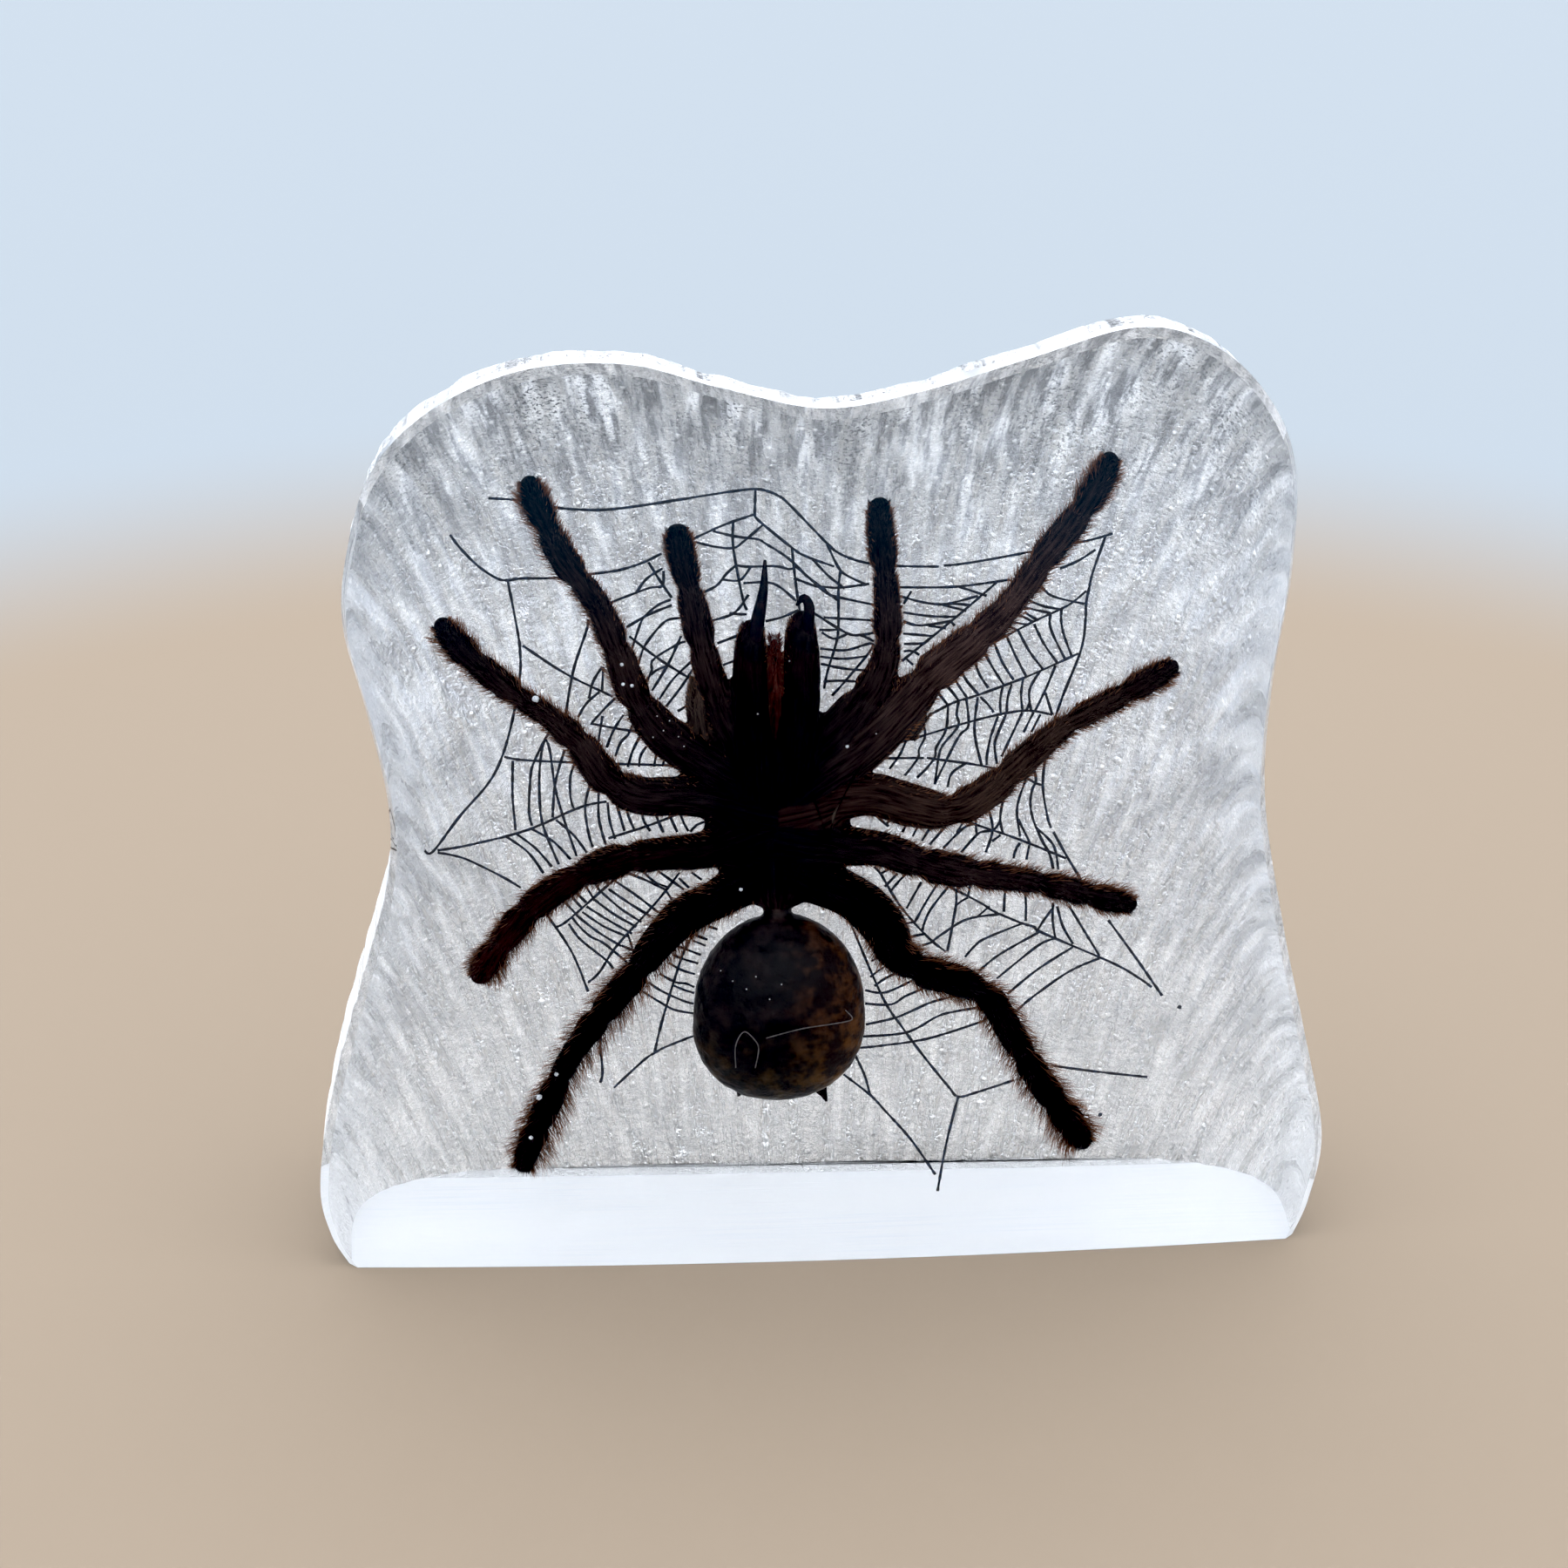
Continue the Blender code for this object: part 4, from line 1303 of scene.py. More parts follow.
    @staticmethod
    def _colours(
        limb: Limb, chance: np.random.Generator, share: np.ndarray, long: bool
    ) -> np.ndarray:
        """Colours each hair from its root to its tip.

        Args:
            limb: the limb that the hairs stand on.
            chance: the source of random numbers.
            share: how far along the limb each stands.
            long: whether these are the fringe's.

        Returns:
            A colour for each point of each hair.
        """
        shade = chance.uniform(0.5, 1.4, len(share))[:, None]
        if long:
            rust = np.array(limb.hair) * shade
            return np.stack([rust * 0.08] * 3 + [rust * 0.5] * 3 + [rust * 1.3], axis=1)
        stops = np.linspace(0.0, 1.0, len(limb.tints))
        tints = np.array(limb.tints)
        own = np.column_stack([np.interp(share, stops, tints[:, k]) for k in range(3)]) * shade
        return np.stack([own * 0.3] * 3 + [own * 2.0], axis=1)


# The web's threads, as points x, z on the film in millimetres
THREADS = (
    ((-37.5, 94.6), (-34.2, 94.3), (-30.7, 93.5), (-27.8, 93.1), (-22.9, 93.1), (-10.2, 94.9),
     (-7.5, 95.1), (-6.4, 94.9), (-5.1, 94.3), (-3.9, 93.3), (0.5, 88.4), (1.7, 87.3), (3, 86.6),
     (5.2, 85.9), (8.5, 85.5), (13.2, 85.3)),
    ((13.7, 85.4), (17.5, 85.8), (29, 87.8), (32.9, 88.8)),
    ((-41.9, 90.3), (-40.9, 88.8), (-39, 86.6), (-36.9, 85), (-35.6, 84.7), (-34.1, 84.9),
     (-30.1, 84.9), (-24.2, 85.5), (-22.2, 85.9), (-20.2, 86.6), (-18.2, 87.6)),
    ((-7.7, 92.1), (-7.2, 91.3), (-3.4, 87.9), (-1.9, 86.9), (1.3, 85.6)),
    ((-6.8, 90.8), (-8.9, 88.9), (-10.1, 88.1), (-12.2, 88.3), (-14.3, 88.9)),
    ((-10.1, 91.3), (-10.1, 88), (-9.1, 82.1), (-8.6, 80.5)),
    ((-12.4, 90.2), (-9.9, 89.5), (-7.4, 89.1), (-6.4, 88.5), (-3.9, 86.7), (-1.4, 84.1),
     (1.7, 81.5)),
    ((-9.8, 86), (-8.4, 85.8), (-5.4, 85.8), (-3.9, 85.4), (-3.3, 85.5)),
    ((-13.7, 82.7), (-12, 83.6), (-10.9, 85), (-9.8, 86)),
    ((0.5, 88.3), (1.7, 85.6), (2.7, 84.5), (5, 83.3)),
    ((-3.3, 84.3), (-0.9, 83.3), (0.6, 83.1), (2, 83), (5.3, 83.4)),
    ((-0.6, 83.3), (0.6, 82.3), (1.6, 81.9), (5.9, 80.8)),
    ((2, 85), (1.8, 82.9), (1.8, 78.1), (1.5, 76), (0.6, 72.8), (0.2, 70.6)),
    ((-1.2, 80.1), (2.8, 77.4), (4.6, 77.2), (5.9, 77.4)),
    ((-0.3, 75.6), (2.6, 75.3), (5.8, 75.9), (2.8, 71.7), (1.1, 69.7)),
    ((8.5, 81.9), (11, 81.1), (13, 80.7), (14.5, 80.8), (17.7, 81.6)),
    ((32.1, 88.5), (30.8, 84.3), (30.4, 82.2), (30.1, 80.3), (30.1, 78.5), (29.7, 74.7),
     (27.6, 68.5), (26.4, 64.2), (26, 62), (25.7, 57.8), (26.3, 53.9), (26.8, 52.2)),
    ((24.8, 82.7), (25.5, 81.9), (26.6, 81.2), (29.9, 80.3)),
    ((30.1, 81.9), (27.9, 80.1), (23.6, 78), (14.7, 73)),
    ((29.4, 74.2), (23.8, 71.6), (17.8, 69.3), (15.2, 68.5), (12.2, 66.9)),
    ((26.6, 66.6), (23.9, 67.2), (20.8, 66.9), (16.3, 65.8), (8.7, 63.5)),
    ((12.1, 61.6), (18.6, 60.4), (23.1, 59), (24.9, 58), (25.8, 57.7)),
    ((39.4, 30.9), (37.8, 32.2), (34.6, 34.3), (26.3, 38.5), (25.1, 39.4), (23.5, 40),
     (20.3, 41.6), (18.8, 42.7), (14.8, 45.1)),
    ((6.1, 47.8), (6.9, 46.9), (8.9, 43.2), (11, 40.3), (13.1, 37.9), (14.7, 36.5)),
    ((2.8, 42.2), (7.2, 30.9), (9.6, 26.7), (12.3, 22.6), (15.3, 18.4), (16.5, 17), (18.7, 17.5),
     (23.2, 19)),
    ((2.7, 20.5), (5.9, 17.6), (7.7, 15.4), (10.9, 11.3), (13.9, 6.4)),
    ((-35.6, 84.7), (-34.6, 78.2), (-34.4, 75.7), (-34.5, 73), (-35.5, 67.6), (-36.8, 63),
     (-38.5, 59.6), (-41.9, 55.5), (-45.1, 51.1), (-46.1, 51.2)),
    ((-26.6, 79.8), (-26.8, 78.5), (-28.4, 73.6), (-29.4, 68.1)),
    ((-24.2, 81.7), (-19.8, 83.4), (-18.2, 83.7), (-18, 85.5)),
    ((-17.2, 82), (-18.6, 81.4), (-19.8, 80.4), (-20.6, 79.4), (-21.7, 76.1)),
    ((-16.1, 79.7), (-17.6, 79.5), (-18.8, 78.4), (-20.3, 76.3), (-21, 74.2)),
    ((-15.6, 76.8), (-16.5, 76.5), (-19.3, 74.7), (-19.5, 73.3), (-20.2, 71.7)),
    ((-25.1, 73.9), (-25.9, 72.7), (-26.4, 71.5), (-26.7, 70)),
    ((-21.7, 66.8), (-22.3, 65.4), (-23.2, 64.4), (-23.8, 62.7)),
    ((-36.6, 62.9), (-32.6, 62.3), (-15.3, 61.3)),
    ((-44.6, 51.2), (-41, 51.8), (-34.4, 53.5), (-28.8, 56), (-26.7, 56.7), (-24.9, 57)),
    ((-44.6, 50.9), (-43.1, 50.6), (-41.1, 49.9), (-37.1, 47.6), (-35.1, 46.2)),
    ((-31.1, 66.1), (-31.8, 65.1), (-33.2, 62.1), (-33.6, 60.5), (-33.9, 56.1), (-33.6, 54.1)),
    ((-31.8, 65.1), (-32.2, 63.8), (-32.6, 60.5), (-32.6, 56.1), (-32.1, 53.3), (-30.6, 49.1)),
    ((-31.8, 65.1), (-31.3, 63.5), (-30.6, 57.7), (-28.5, 50.1)),
    ((-28.5, 61.9), (-29, 60.4), (-29.1, 58.2), (-28.9, 56.7), (-28.6, 56)),
    ((-26.7, 59.5), (-27.4, 56.5), (-27.1, 53.2), (-26.6, 51.2)),
    ((-31, 41), (-29.5, 42), (-24.3, 46.9), (-23, 47.9)),
    ((-27.5, 33.6), (-26.1, 35), (-24, 38.4), (-19.3, 44), (-16.6, 47.7)),
    ((-29.2, 42.2), (-28.2, 40.8), (-27, 39.6), (-25.5, 38.7), (-22.8, 36.1)),
    ((-29.6, 41.4), (-28.8, 40), (-27.9, 38.9), (-25.2, 36.4), (-24.5, 35.3)),
    ((-26.1, 26.9), (-26.2, 25.2), (-26, 21.7), (-26.3, 20.2)),
    ((-24.7, 19.5), (-21.1, 23.1), (-19.7, 24.1), (-18.5, 24.8), (-15.4, 26.1), (-14.1, 26.3)),
    ((-19.8, 24.1), (-18.8, 28.5), (-16.5, 36.5), (-15.1, 39.6)),
    ((-21.4, 32.5), (-18.2, 30.2), (-16.9, 29.6), (-15.1, 29.2)),
    ((-20.4, 33.5), (-18.9, 32.3), (-16.3, 30.9), (-15.1, 30.5)),
    ((-19.1, 34.6), (-17.2, 33.4), (-16, 33.2), (-15, 32.7)),
    ((9.2, 78.7), (10.6, 78.2), (12.1, 78.2), (14.8, 78.6)),
    ((27.3, 79.7), (27.3, 78.3), (27.7, 76.4), (28.6, 74)),
    ((26.1, 79.3), (26, 78), (26.5, 76.4), (27.9, 73.5)),
    ((17.5, 74.5), (17.6, 73.2), (18.1, 71.8), (19.1, 70.2)),
    ((16.6, 68.8), (16.9, 65.6), (16, 64.5), (15.1, 62.8), (13.1, 58.3)),
    ((15.7, 68.6), (15.5, 67), (15.7, 65.5), (14, 63.2), (13.5, 61.7), (13.1, 58.2)),
    ((14.5, 68.1), (14.3, 65.1), (13.2, 62.9), (13.1, 61.8), (12.3, 60.5), (11, 59.1)),
    ((11.7, 65.8), (11.9, 64.3), (11.2, 62.7), (11.1, 61.6), (9.6, 59.4)),
    ((20.3, 66.6), (19.5, 64.1), (19.1, 61.6), (19.1, 60.5)),
    ((21.2, 66.8), (20.1, 63.8), (20, 62.4), (20.3, 60.6)),
    ((16.6, 60.7), (15.6, 60.1), (14.9, 59.3), (14.6, 57.8)),
    ((24.5, 60.3), (24.9, 58.4), (24.5, 57.3), (24.3, 55.7), (24.6, 53.6), (25.8, 50.6),
     (26.7, 48.9), (27.2, 46.9)),
    ((21.8, 57.4), (21.1, 55.8), (20.8, 53.5), (21.2, 51.6)),
    ((20.8, 53.3), (20.1, 52.2), (18.9, 52), (18.1, 51.6), (16.3, 49.4)),
    ((18, 53), (17, 52.8), (16, 52), (14.2, 50)),
    ((15.1, 45.3), (12.9, 42.2), (12.1, 40.3), (11.9, 39.3)),
    ((17, 45.4), (15.9, 44.5), (15.8, 42.4), (14.9, 36.5)),
    ((13.1, 37.9), (14.2, 38.8), (17.2, 40.7), (21.1, 41.2)),
    ((17, 35.7), (18.1, 37.1), (19.4, 38.1), (23.7, 39.9)),
    ((18.7, 33.8), (20.3, 35.3), (22, 36.5), (25.9, 38.8)),
    ((20.8, 32.7), (25.1, 36.5), (26.7, 37.5), (27.9, 37.8)),
    ((23.3, 28.3), (24.8, 29.8), (28.3, 32.6), (30.4, 33.9), (33, 35)),
    ((5.2, 31.7), (7.5, 31.3), (10.6, 32.7), (11.7, 33.4)),
    ((5.2, 29.9), (8.3, 29.7), (10.1, 30.8), (13.4, 32.2)),
    ((5.3, 27.1), (9.1, 28), (13.3, 29.9), (17.4, 30.8)),
    ((5, 25.5), (10.2, 25.9), (13.8, 27.9), (15.9, 28.5), (18.5, 28.9)),
    ((4.4, 24), (7.1, 24.2), (12.8, 25), (19.6, 27.2)),
)

# Its short rungs: x, z of both ends and how far the middle bows, in millimetres
RUNGS = (
    (-7.6, 95.1, -7.7, 92.1, 0), (-7.7, 92.1, -14.8, 89.2, 0.2), (-3.5, 88, -2.6, 80.2, 0.07),
    (-11.3, 84.3, -8.2, 85.7, 0.9), (-9, 83.8, -3, 81.5, -1.1), (-12.6, 79.3, -8.4, 82.4, 0.8),
    (-10.6, 80.2, -8.6, 80, 0.07), (-12, 76.5, -9.4, 77.5, 0), (-11.4, 73.8, -10.1, 74.3, 0),
    (-6.5, 79.1, -2.8, 80.4, 0.2), (-1.1, 86.5, 2.5, 82.9, 0.2), (-3.3, 85.9, 0.4, 82.7, 0.07),
    (0.1, 79.4, 5.9, 78.9, 0), (-0.4, 77.9, 1.9, 77.9, 0.07), (-0.1, 77.6, 2.8, 77.3, 0.7),
    (4.1, 77.2, 5.9, 76.3, -0.1), (-0.3, 74.6, 4.9, 74.5, 0.3), (-0.2, 73.7, 5.6, 72.7, 0.2),
    (0.1, 71.5, 3.8, 71.4, -0.1), (27, 84.7, 31, 86.9, 0.2), (8.5, 82.9, 21.3, 83.5, 0.4),
    (19.8, 83.2, 9.1, 73.8, -0.1), (27.1, 51.7, 30.4, 45.6, 0.07), (6.2, 61.7, 11.8, 61.6, 0),
    (16.7, 53.4, 28.7, 48.2, -0.2), (40.7, 29.7, 33.9, 40, 0.07), (16.5, 17, 14.2, 4.1, 0.2),
    (4.1, 23, 5.9, 17.6, -0.2), (27.6, 20.8, 39.3, 18.8, 0.07), (-34.1, 76.7, -24, 70.2, 0.4),
    (-19.7, 86.6, -17.1, 82.2, 0.07), (-18.1, 85.8, -21.2, 82.8, 0.4),
    (-22.3, 78.7, -17.1, 81.3, -0.2), (-22, 77.6, -15.1, 72.2, 0.2),
    (-16.1, 77.5, -19.5, 70.8, -0.2), (-17.8, 73.8, -19.6, 72.8, 0.2),
    (-14.9, 74.4, -18.7, 69.7, 0.3), (-14.6, 73.7, -17.9, 68.8, -0.1),
    (-15.1, 69.3, -16.6, 68.2, -0.1), (-25, 73.9, -25.2, 70.9, 0), (-25.5, 70.8, -28, 67.7, 0.3),
    (-23.7, 70, -26.4, 67, 0.07), (-26.6, 66.9, -20, 65.5, 0.07), (-22.8, 67.9, -24.8, 63.8, 0.2),
    (-25.2, 67.8, -25.8, 64.2, 0), (-20.8, 65.4, -22.4, 61.3, 0.2), (-20.2, 63.9, -21.1, 61.3, 0.3),
    (-19.1, 62.8, -19.4, 61.3, 0), (-18.1, 62.6, -18.4, 61.3, 0), (-17, 62.5, -17.2, 61.2, 0),
    (-24.8, 52.3, -14.6, 56.1, 0.2), (-35.6, 62.4, -35.5, 53.6, 0.2),
    (-29.6, 63.7, -31.2, 55.1, 0.4), (-25.8, 58.3, -25.1, 51.5, 0.4), (-24.8, 56.9, -24, 52.2, 0.2),
    (-23.8, 56.7, -22.9, 53.2, 0), (-22.7, 56.1, -21.7, 53.2, 0.07),
    (-20.9, 55.5, -19.9, 53.1, 0.2),
    (-19.3, 55.5, -18.4, 52.9, 0.07), (-18, 55.9, -16.8, 52.9, 0), (-16.4, 55.1, -15.5, 53, 0.07),
    (-13.4, 54.2, -15.3, 52.9, 0.3), (-36.6, 52.8, -32.4, 48, -0.5),
    (-35.5, 53.2, -31.4, 48.8, -0.3), (-33.6, 53.7, -29.2, 49.7, -0.4),
    (-30.8, 54.8, -27.3, 50.5, -0.3), (-32.1, 42.6, -27.5, 32.4, -0.5),
    (-24.2, 46.9, -19.1, 42.6, -0.1), (-24.9, 45.8, -20, 42.1, 0.07),
    (-25.7, 45.4, -21.1, 41.4, 0.2), (-26.6, 44.5, -21.7, 40.8, 0.2),
    (-27.5, 43.6, -22.2, 39.9, 0.07), (-28, 42.9, -22.7, 39.5, 0.3),
    (-28.7, 42.5, -23.5, 38.3, 0.2),
    (-30.4, 44.7, -28.6, 42.5, 0), (-29.6, 45.6, -28, 43.4, 0.07), (-28.9, 45.9, -27.5, 44.1, 0.07),
    (-27.6, 46.4, -26.5, 44.3, 0), (-26.7, 47, -25.9, 45.6, 0), (-25.4, 47.4, -24.9, 46.3, 0),
    (-22.8, 47.9, -18.2, 45.5, -0.1), (-20.8, 47.9, -17.9, 45.8, 0.3), (-19, 47.9, -16.1, 45.5, 0),
    (-18.2, 45.4, -17.5, 44.2, 0), (-16.7, 47, -15.5, 45.7, 0), (-15.2, 47.7, -14, 46.7, 0),
    (-22.7, 39.8, -22.2, 38, 0), (-23.5, 38.4, -22.1, 37.7, 0), (-17.5, 33, -15, 31.9, 0.07),
    (-18, 36, -14.9, 34.4, 0.2), (-17.5, 37, -14.5, 35.8, 0.07), (-16.8, 38.1, -14.2, 36.9, 0),
    (-15.1, 38.8, -13.6, 38.1, 0), (-14.8, 39.5, -13.4, 38.9, 0), (-13.2, 40.6, -12.2, 40.2, 0),
    (-14.5, 28.1, -14.6, 26.4, 0), (15.5, 82.8, 18.7, 81.6, 0), (13.5, 80.7, 16.8, 80.5, -0.1),
    (13.7, 80.6, 16.4, 79.8, 0), (9.2, 79.8, 15.4, 79.1, 0.2), (12.1, 78.1, 14.1, 77.7, 0),
    (9.2, 77.2, 12.6, 76.8, 0), (14.6, 78.6, 15.1, 78, 0), (9.3, 75.9, 11.6, 75.9, 0),
    (9.3, 75, 11.1, 74.5, -0.3), (9.6, 74.1, 10.4, 73.3, 0), (10.1, 82.4, 9.2, 80.8, 0),
    (23.3, 81, 27.3, 79.7, 0.2), (22.8, 80.2, 26.1, 79.3, 0.07), (23.1, 79.5, 24.6, 78.5, 0.07),
    (22.2, 79.2, 24.1, 78.2, -0.1), (21.6, 78.4, 23.6, 77.9, 0.07), (20.9, 77.8, 22.4, 77.2, -0.1),
    (19.9, 77.1, 21.1, 76.6, 0), (18.7, 76.2, 19.4, 75.9, 0), (17.8, 75.7, 18.5, 75, 0),
    (24.2, 78, 27, 73.1, 0.2), (22.4, 77.2, 25.4, 72.3, 0.2), (21.1, 76.5, 23.4, 71.6, 0.07),
    (19.7, 75.7, 22, 71.1, 0.2), (18.4, 74.9, 20.9, 70.5, 0.07), (15.6, 73, 18, 69.4, 0.2),
    (14.8, 72.2, 16.7, 69, 0.07), (13.8, 71.1, 15.7, 68.7, -0.1), (13, 70.2, 14.4, 68.3, 0),
    (26.8, 72.8, 24.5, 67, -0.1), (25.7, 69.4, 26.6, 66.6, 0), (25, 72.1, 24.1, 67.2, 0.7),
    (23.9, 68.3, 23.6, 67.3, 0), (23.1, 71.3, 23.1, 67.3, 0.2), (21.8, 70.6, 21.3, 67, 0.2),
    (20.8, 70.5, 20.6, 66.8, 0.2), (18.2, 69.1, 19.8, 67.1, -0.1), (17.9, 69.1, 18.5, 60.5, 0.6),
    (9.7, 63.8, 7.8, 60.3, -0.2), (23.1, 67, 20.8, 61.5, 0), (24.4, 67, 23.3, 64.5, 0),
    (25.2, 66.7, 24.2, 64.5, 0), (25.1, 52.3, 27.8, 46.8, -0.8), (23.7, 58.5, 23.2, 51.2, 0.7),
    (22.9, 53.5, 24.4, 50.3, 0), (19.3, 55.3, 19.2, 49.3, -0.7), (20.9, 51.5, 19.9, 50.7, 0),
    (18, 54.2, 18.1, 51.6, 0.07), (16.5, 53.3, 15.8, 52, 0), (14.5, 52.9, 12.6, 50.5, 0),
    (13, 53.1, 11.7, 51, 0.07), (11.4, 53.3, 10.6, 51.6, 0), (10, 53.5, 9.4, 52.2, 0),
    (8.1, 54, 7.6, 53.4, 0), (6.3, 54.5, 7.8, 53, 0.07), (23.2, 50.4, 22.5, 48.4, 0.2),
    (24.3, 50.1, 24, 48.2, 0), (9.9, 46.8, 8.1, 44.6, 0.07), (8.9, 46.9, 7.4, 45.2, 0),
    (7.9, 47.5, 6.9, 46.9, 0), (11.7, 45.7, 10, 42.3, 0), (13.6, 45.4, 11, 40.5, 0.07),
    (17.2, 43.5, 15.9, 42.6, 0.07), (17.6, 45.8, 17.2, 43.7, 0), (21.7, 45.2, 21.5, 41.5, 0.07),
    (23.9, 44.4, 24.1, 40.2, -0.1), (27.3, 42.5, 27.7, 37.8, 0.2), (27.3, 41.8, 25.4, 38.7, 0.07),
    (27.8, 42, 29.8, 37, 0.3), (29.2, 42, 33, 35.3, 0), (19.8, 42.3, 18.3, 40.9, 0),
    (22.1, 30.6, 29.8, 36.6, -0.3), (12.1, 38.9, 9.8, 38.3, 0.07), (11, 40.5, 9.2, 40.1, 0.07),
    (13.4, 37.9, 11.9, 37.4, 0), (5.9, 35.5, 6.7, 36, 0), (5.8, 33.4, 7.8, 34.9, -0.1),
    (6.3, 32.2, 9.3, 34, -0.2),
)


@dataclass
class WebFilm:
    """The clear film and the web that is printed on it in fine, slightly uneven threads."""

    left: float = -0.048
    right: float = 0.043
    bottom: float = 0.004
    top: float = 0.0965
    thickness: float = 0.0002
    corner: float = 0.003
    line: float = 0.37
    ink: float = 0.05
    step: float = 0.45
    uneven: float = 0.22
    seed: int = 3

    def build(self) -> bpy.types.Object:
        """Makes the film and draws every thread on it.

        Returns:
            The printed film, which stands for the solid one.
        """
        film = self._sheet()
        web = self._threads()
        film.data.materials.append(ClearFilm().material())
        web.data.materials.append(Ink().material())
        return join([film, web], "printed_web_film")

    def _sheet(self) -> bpy.types.Object:
        """Makes the film, with rounded corners."""
        select_none()
        depth = FILM_FRONT + self.thickness / 2
        middle = ((self.left + self.right) / 2, depth, (self.bottom + self.top) / 2)
        size = (self.right - self.left, self.thickness, self.top - self.bottom)
        bpy.ops.mesh.primitive_cube_add(size=1.0, location=middle, scale=size)
        film = bpy.context.object
        bpy.ops.object.transform_apply(location=True, rotation=True, scale=True)
        corners = [e.index for e in film.data.edges if self._is_corner(film.data, e)]
        bpy.ops.object.mode_set(mode="EDIT")
        bpy.ops.mesh.select_all(action="DESELECT")
        bpy.ops.mesh.select_mode(type="EDGE")
        bpy.ops.object.mode_set(mode="OBJECT")
        for index in corners:
            film.data.edges[index].select = True
        bpy.ops.object.mode_set(mode="EDIT")
        bpy.ops.mesh.bevel(offset=self.corner, segments=6)
        bpy.ops.object.mode_set(mode="OBJECT")
        return film

    @staticmethod
    def _is_corner(mesh: bpy.types.Mesh, edge: bpy.types.MeshEdge) -> bool:
        """Says whether an edge runs through the film's thickness."""
        one, other = (mesh.vertices[i].co for i in edge.vertices)
        return abs(one.x - other.x) < 1e-6 and abs(one.z - other.z) < 1e-6

    def _threads(self) -> bpy.types.Object:
        """Draws every thread, flat on the film's front."""
        chance = random.Random(self.seed)
        lines = [np.array(thread, float) for thread in THREADS]
        lines += [self._bow(*rung) for rung in RUNGS]
        runs = [self._thread(points, chance) for points in lines]
        web = tubes("threads", runs, self.line / 2 * MM, 1)
        for vert in web.data.vertices:
            vert.co.y = FILM_FRONT + (vert.co.y / self.line - 0.4 * MM) * self.ink
        return web

    @staticmethod
    def _bow(x: float, z: float, end_x: float, end_z: float, bow: float) -> np.ndarray:
        """Gives the three points of a rung."""
        start, end = np.array((x, z)), np.array((end_x, end_z))
        across = np.array((end_z - z, x - end_x)) / max(np.linalg.norm(end - start), 1e-6)
        return np.array((start, (start + end) / 2 + across * bow, end))

    def _thread(self, points: np.ndarray, chance: random.Random) -> np.ndarray:
        """Runs one thread through its points, now thicker and now thinner.

        Args:
            points: x, z of the thread's points, in millimetres.
            chance: the source of random numbers.

        Returns:
            A row for each point of its line: x, y, z and its share of the thickness.
        """
        length = np.linalg.norm(np.diff(points, axis=0), axis=1).sum()
        line = curve_through(points, max(3, int(length / self.step)))
        share = [1 + self.uneven * chance.uniform(-1.0, 1.0) for _ in line]
        return np.column_stack((line[:, 0] * MM, np.zeros(len(line)), line[:, 1] * MM, share))


# How far a point moves over the film, as seen by the camera, for each millimetre before it
SEEN_ACROSS = 0.04
SEEN_UP = 0.281

# White specks before the spider and dark ones by the web: x, z and radius; pale fibres: points
SPECKS = (
    (-32.5, 70.0, 0.4), (-33.3, 19.1, 0.35), (-34.4, 13.7, 0.25), (-31.2, 22.1, 0.25),
    (-22.7, 74.0, 0.2), (-22.6, 71.6, 0.2), (-21.6, 71.4, 0.2), (-9.4, 45.6, 0.2),
    (-7.4, 67.6, 0.07), (2.8, 63.3, 0.2), (6.1, 64.8, 0.07), (-18.8, 67.6, 0.07),
    (-18.1, 65.8, 0.07), (-17.4, 67.0, 0.07), (-16.4, 65.0, 0.07), (-19.3, 65.0, 0.07),
    (-15.8, 63.8, 0.07), (-11.8, 35.2, 0.07), (-10.4, 33.8, 0.07), (-8.8, 32.7, 0.07),
    (-7.7, 34.3, 0.07), (-6.1, 31.3, 0.07), (-4.7, 33.2, 0.07), (-3.8, 74.0, 0.07),
    (-38.3, 76.9, 0.2), (-29.0, 81.0, 0.07), (13.0, 81.1, 0.07), (25.1, 57.3, 0.07),
)
FIBRES = (
    ((-10.1, 22.4), (-10.1, 25.3), (-9.1, 27.1), (-7.8, 25.9), (-7.4, 24.7), (-7.8, 22.3)),
    ((-6.5, 26.2), (-2.3, 27.3), (1.8, 27.9), (3.6, 28.4), (2.8, 29.6)),
)
DARK_SPECKS = ((42.8, 28.2, 0.28), (33.7, 14.0, 0.28))


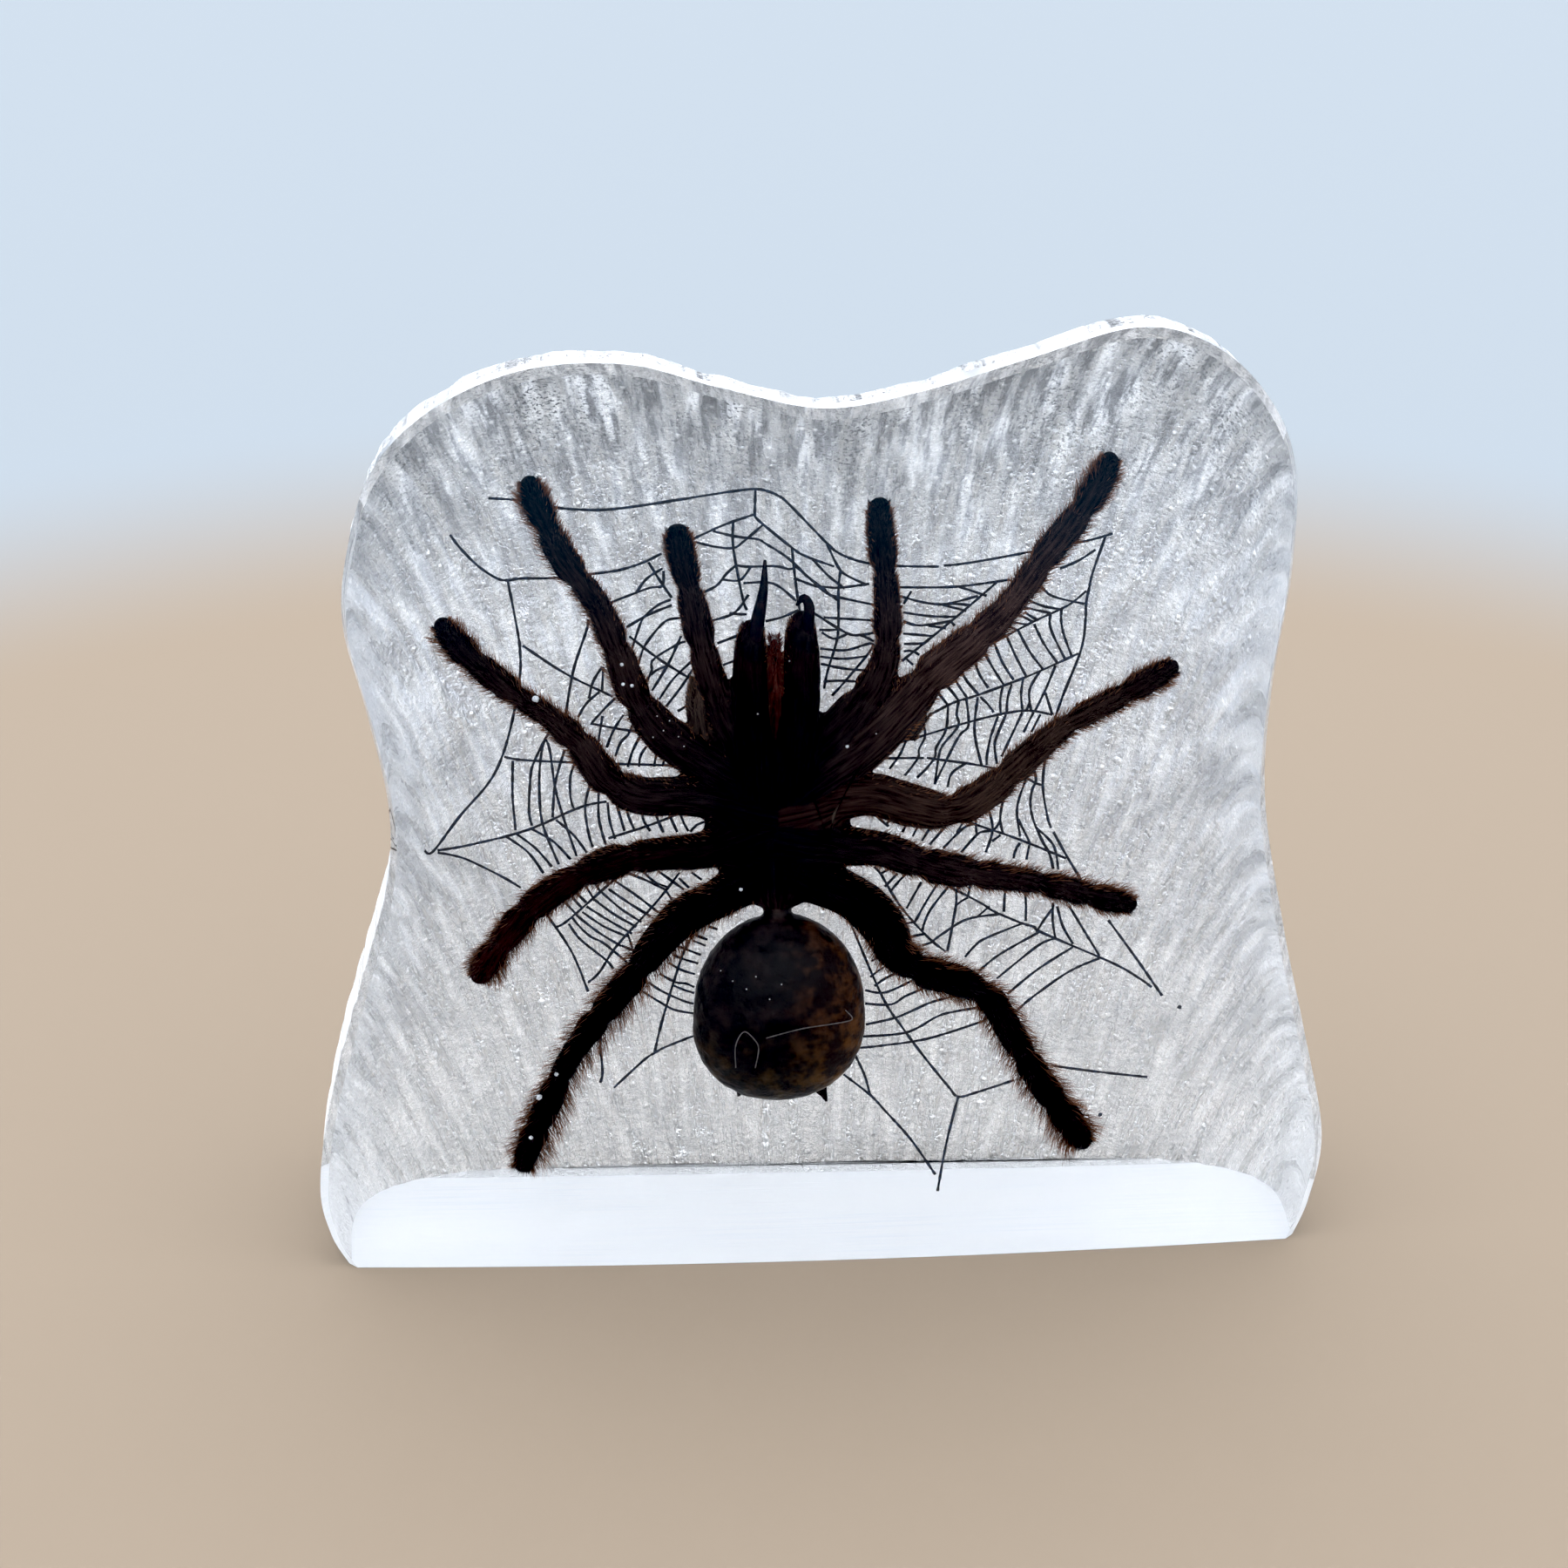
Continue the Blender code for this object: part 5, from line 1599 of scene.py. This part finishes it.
@dataclass
class Flecks:
    """Specks and fibres caught in the resin, a set of one finish."""

    name: str
    specks: tuple
    finish: object
    lift: float
    fibres: tuple = ()
    thread: float = 0.06
    seed: int = 8

    def build(self) -> bpy.types.Object:
        """Makes the specks and the fibres.

        Returns:
            All of them as one piece.
        """
        chance = random.Random(self.seed)
        parts = [self._speck(speck, chance) for speck in self.specks]
        parts += [self._fibre(points) for points in self.fibres]
        flecks = join(parts, self.name)
        flecks.data.materials.append(self.finish.material())
        smooth(flecks)
        return flecks

    def _spot(self, x: float, z: float) -> Vector:
        """Finds the point before the film that is seen at a place on it, in metres."""
        across, up = x - SEEN_ACROSS * self.lift, z + SEEN_UP * self.lift
        return Vector((across * MM, FACE_Y - self.lift * MM, up * MM))

    def _speck(self, speck: tuple, chance: random.Random) -> bpy.types.Object:
        """Adds one uneven speck."""
        x, z, radius = speck
        select_none()
        bpy.ops.mesh.primitive_ico_sphere_add(subdivisions=2, radius=radius * MM)
        part = bpy.context.object
        spot = self._spot(x, z)
        for vert in part.data.vertices:
            vert.co = vert.co * chance.uniform(0.8, 1.15) + spot
        return part

    def _fibre(self, points: tuple) -> bpy.types.Object:
        """Adds one curled fibre."""
        line = curve_through(np.array(points), 8 * len(points))
        run = np.array([(*self._spot(x, z), 1.0) for x, z in line])
        return tubes("fibre", [run], self.thread * MM, 1)


@dataclass
class Studio:
    """The floor, the surrounding light and the camera."""

    floor_radius: float = 4.0
    elevation: float = 24.0
    azimuth: float = 3.5
    distance: float = 0.498
    aim: tuple = (-0.00375, 0.0, 0.0538)
    lens: float = 96.0
    beyond: Colour = (6.8, 7.2, 7.9)
    facing: Colour = (3.3, 3.5, 3.75)
    overhead: Colour = (2.6, 2.75, 2.95)
    black: Colour = (0.030, 0.026, 0.021)

    def build(self) -> None:
        """Sets all of it up."""
        self._floor()
        self._light()
        self._camera()

    def _floor(self) -> None:
        """Lays the plain pale floor."""
        select_none()
        bpy.ops.mesh.primitive_circle_add(vertices=96, radius=self.floor_radius, fill_type="NGON")
        floor = bpy.context.object
        floor.name = "floor"
        for vert in floor.data.vertices:
            vert.co.z = -0.00005
        floor.data.materials.append(FloorFinish().material())

    def _light(self) -> None:
        """Surrounds the block with soft bluish-white light, brightest beyond it."""
        world = bpy.data.worlds.new("soft_light")
        bpy.context.scene.world = world
        world.use_nodes = True
        tree = world.node_tree
        sky = tree.nodes["Background"]
        way = tree.nodes.new("ShaderNodeTexCoord").outputs["Generated"]
        split = tree.nodes.new("ShaderNodeSeparateXYZ")
        tree.links.new(way, split.inputs[0])
        stops = ((0.30, self.facing), (0.80, self.beyond))
        front = self._ramp(tree, split.outputs["Y"], stops, -1.0)
        height = self._ramp(tree, split.outputs["Z"], ((0.12, (0, 0, 0)), (0.42, (1, 1, 1))), 0.0)
        mixer = tree.nodes.new("ShaderNodeMix")
        mixer.data_type = "RGBA"
        tree.links.new(height, mixer.inputs[0])
        tree.links.new(front, mixer.inputs[6])
        mixer.inputs[7].default_value = (*self.overhead, 1.0)
        tree.links.new(mixer.outputs[2], sky.inputs["Color"])

    @staticmethod
    def _ramp(tree: object, value: object, stops: Stops, low: float) -> bpy.types.NodeSocket:
        """Turns a direction's part, from low to 1, into a colour."""
        spread = tree.nodes.new("ShaderNodeMapRange")
        spread.inputs["From Min"].default_value = low
        tree.links.new(value, spread.inputs["Value"])
        band = tree.nodes.new("ShaderNodeValToRGB")
        tree.links.new(spread.outputs["Result"], band.inputs["Fac"])
        for stop, (place, colour) in zip(band.color_ramp.elements, stops):
            stop.position = place
            stop.color = (*colour, 1.0)
        return band.outputs["Color"]

    def _camera(self) -> None:
        """Places the camera in front of the block, a little above it."""
        data = bpy.data.cameras.new("camera")
        data.lens = self.lens
        data.sensor_width = 36.0
        camera = bpy.data.objects.new("camera", data)
        bpy.context.scene.collection.objects.link(camera)
        down, turn = math.radians(self.elevation), math.radians(self.azimuth)
        forward = Vector((
            math.sin(turn) * math.cos(down), math.cos(turn) * math.cos(down), -math.sin(down)
        ))
        camera.location = Vector(self.aim) - forward * self.distance
        camera.rotation_euler = forward.to_track_quat("-Z", "Y").to_euler()
        bpy.context.scene.camera = camera
        view = bpy.context.scene.view_settings
        view.view_transform = "Standard"
        view.use_curve_mapping = True
        view.curve_mapping.black_level = self.black
        view.curve_mapping.update()


def settle(thing: bpy.types.Object, nodes: Sequence[str] = ()) -> None:
    """Declares a finished piece.

    Args:
        thing: the piece.
        nodes: the solids that it stands for.
    """
    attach(thing, BODY)
    if nodes:
        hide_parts(*nodes)
    faces = sum(len(face.vertices) - 2 for face in thing.data.polygons)
    log.info("%s: %d triangles", thing.name, faces)


def main() -> None:
    """Builds every piece in order."""
    logging.basicConfig(level=logging.INFO, format="%(message)s", stream=sys.stdout)
    Studio().build()
    settle(ResinBlock().build(), ("block_front", "block_back"))
    settle(WebFilm().build(), ("web_film",))
    settle(Tarantula().build(), ("tarantula",))
    left, right = (tuple(f"leg_{i}_{side}" for i in range(1, 5)) for side in ("left", "right"))
    coats = (
        HairCoat("hairs_left_legs", left, seed=5),
        HairCoat("hairs_right_legs", right, seed=6),
        HairCoat("hairs_palps_and_jaws", ("palp", "chelicera", "furrow", "lobe"), seed=7),
    )
    for coat in coats:
        settle(coat.build(LIMBS))
    settle(Flecks("white_specks", SPECKS, PaleFleck(), 10.6).build())
    grey = PaleFleck("grey_fibre", (0.13, 0.12, 0.12), (0.06, 0.05, 0.05))
    settle(Flecks("fibres", (), grey, 10.6, FIBRES).build())
    settle(Flecks("dark_specks", DARK_SPECKS, Ink(), 0.3).build())


if __name__ == "__main__":
    main()
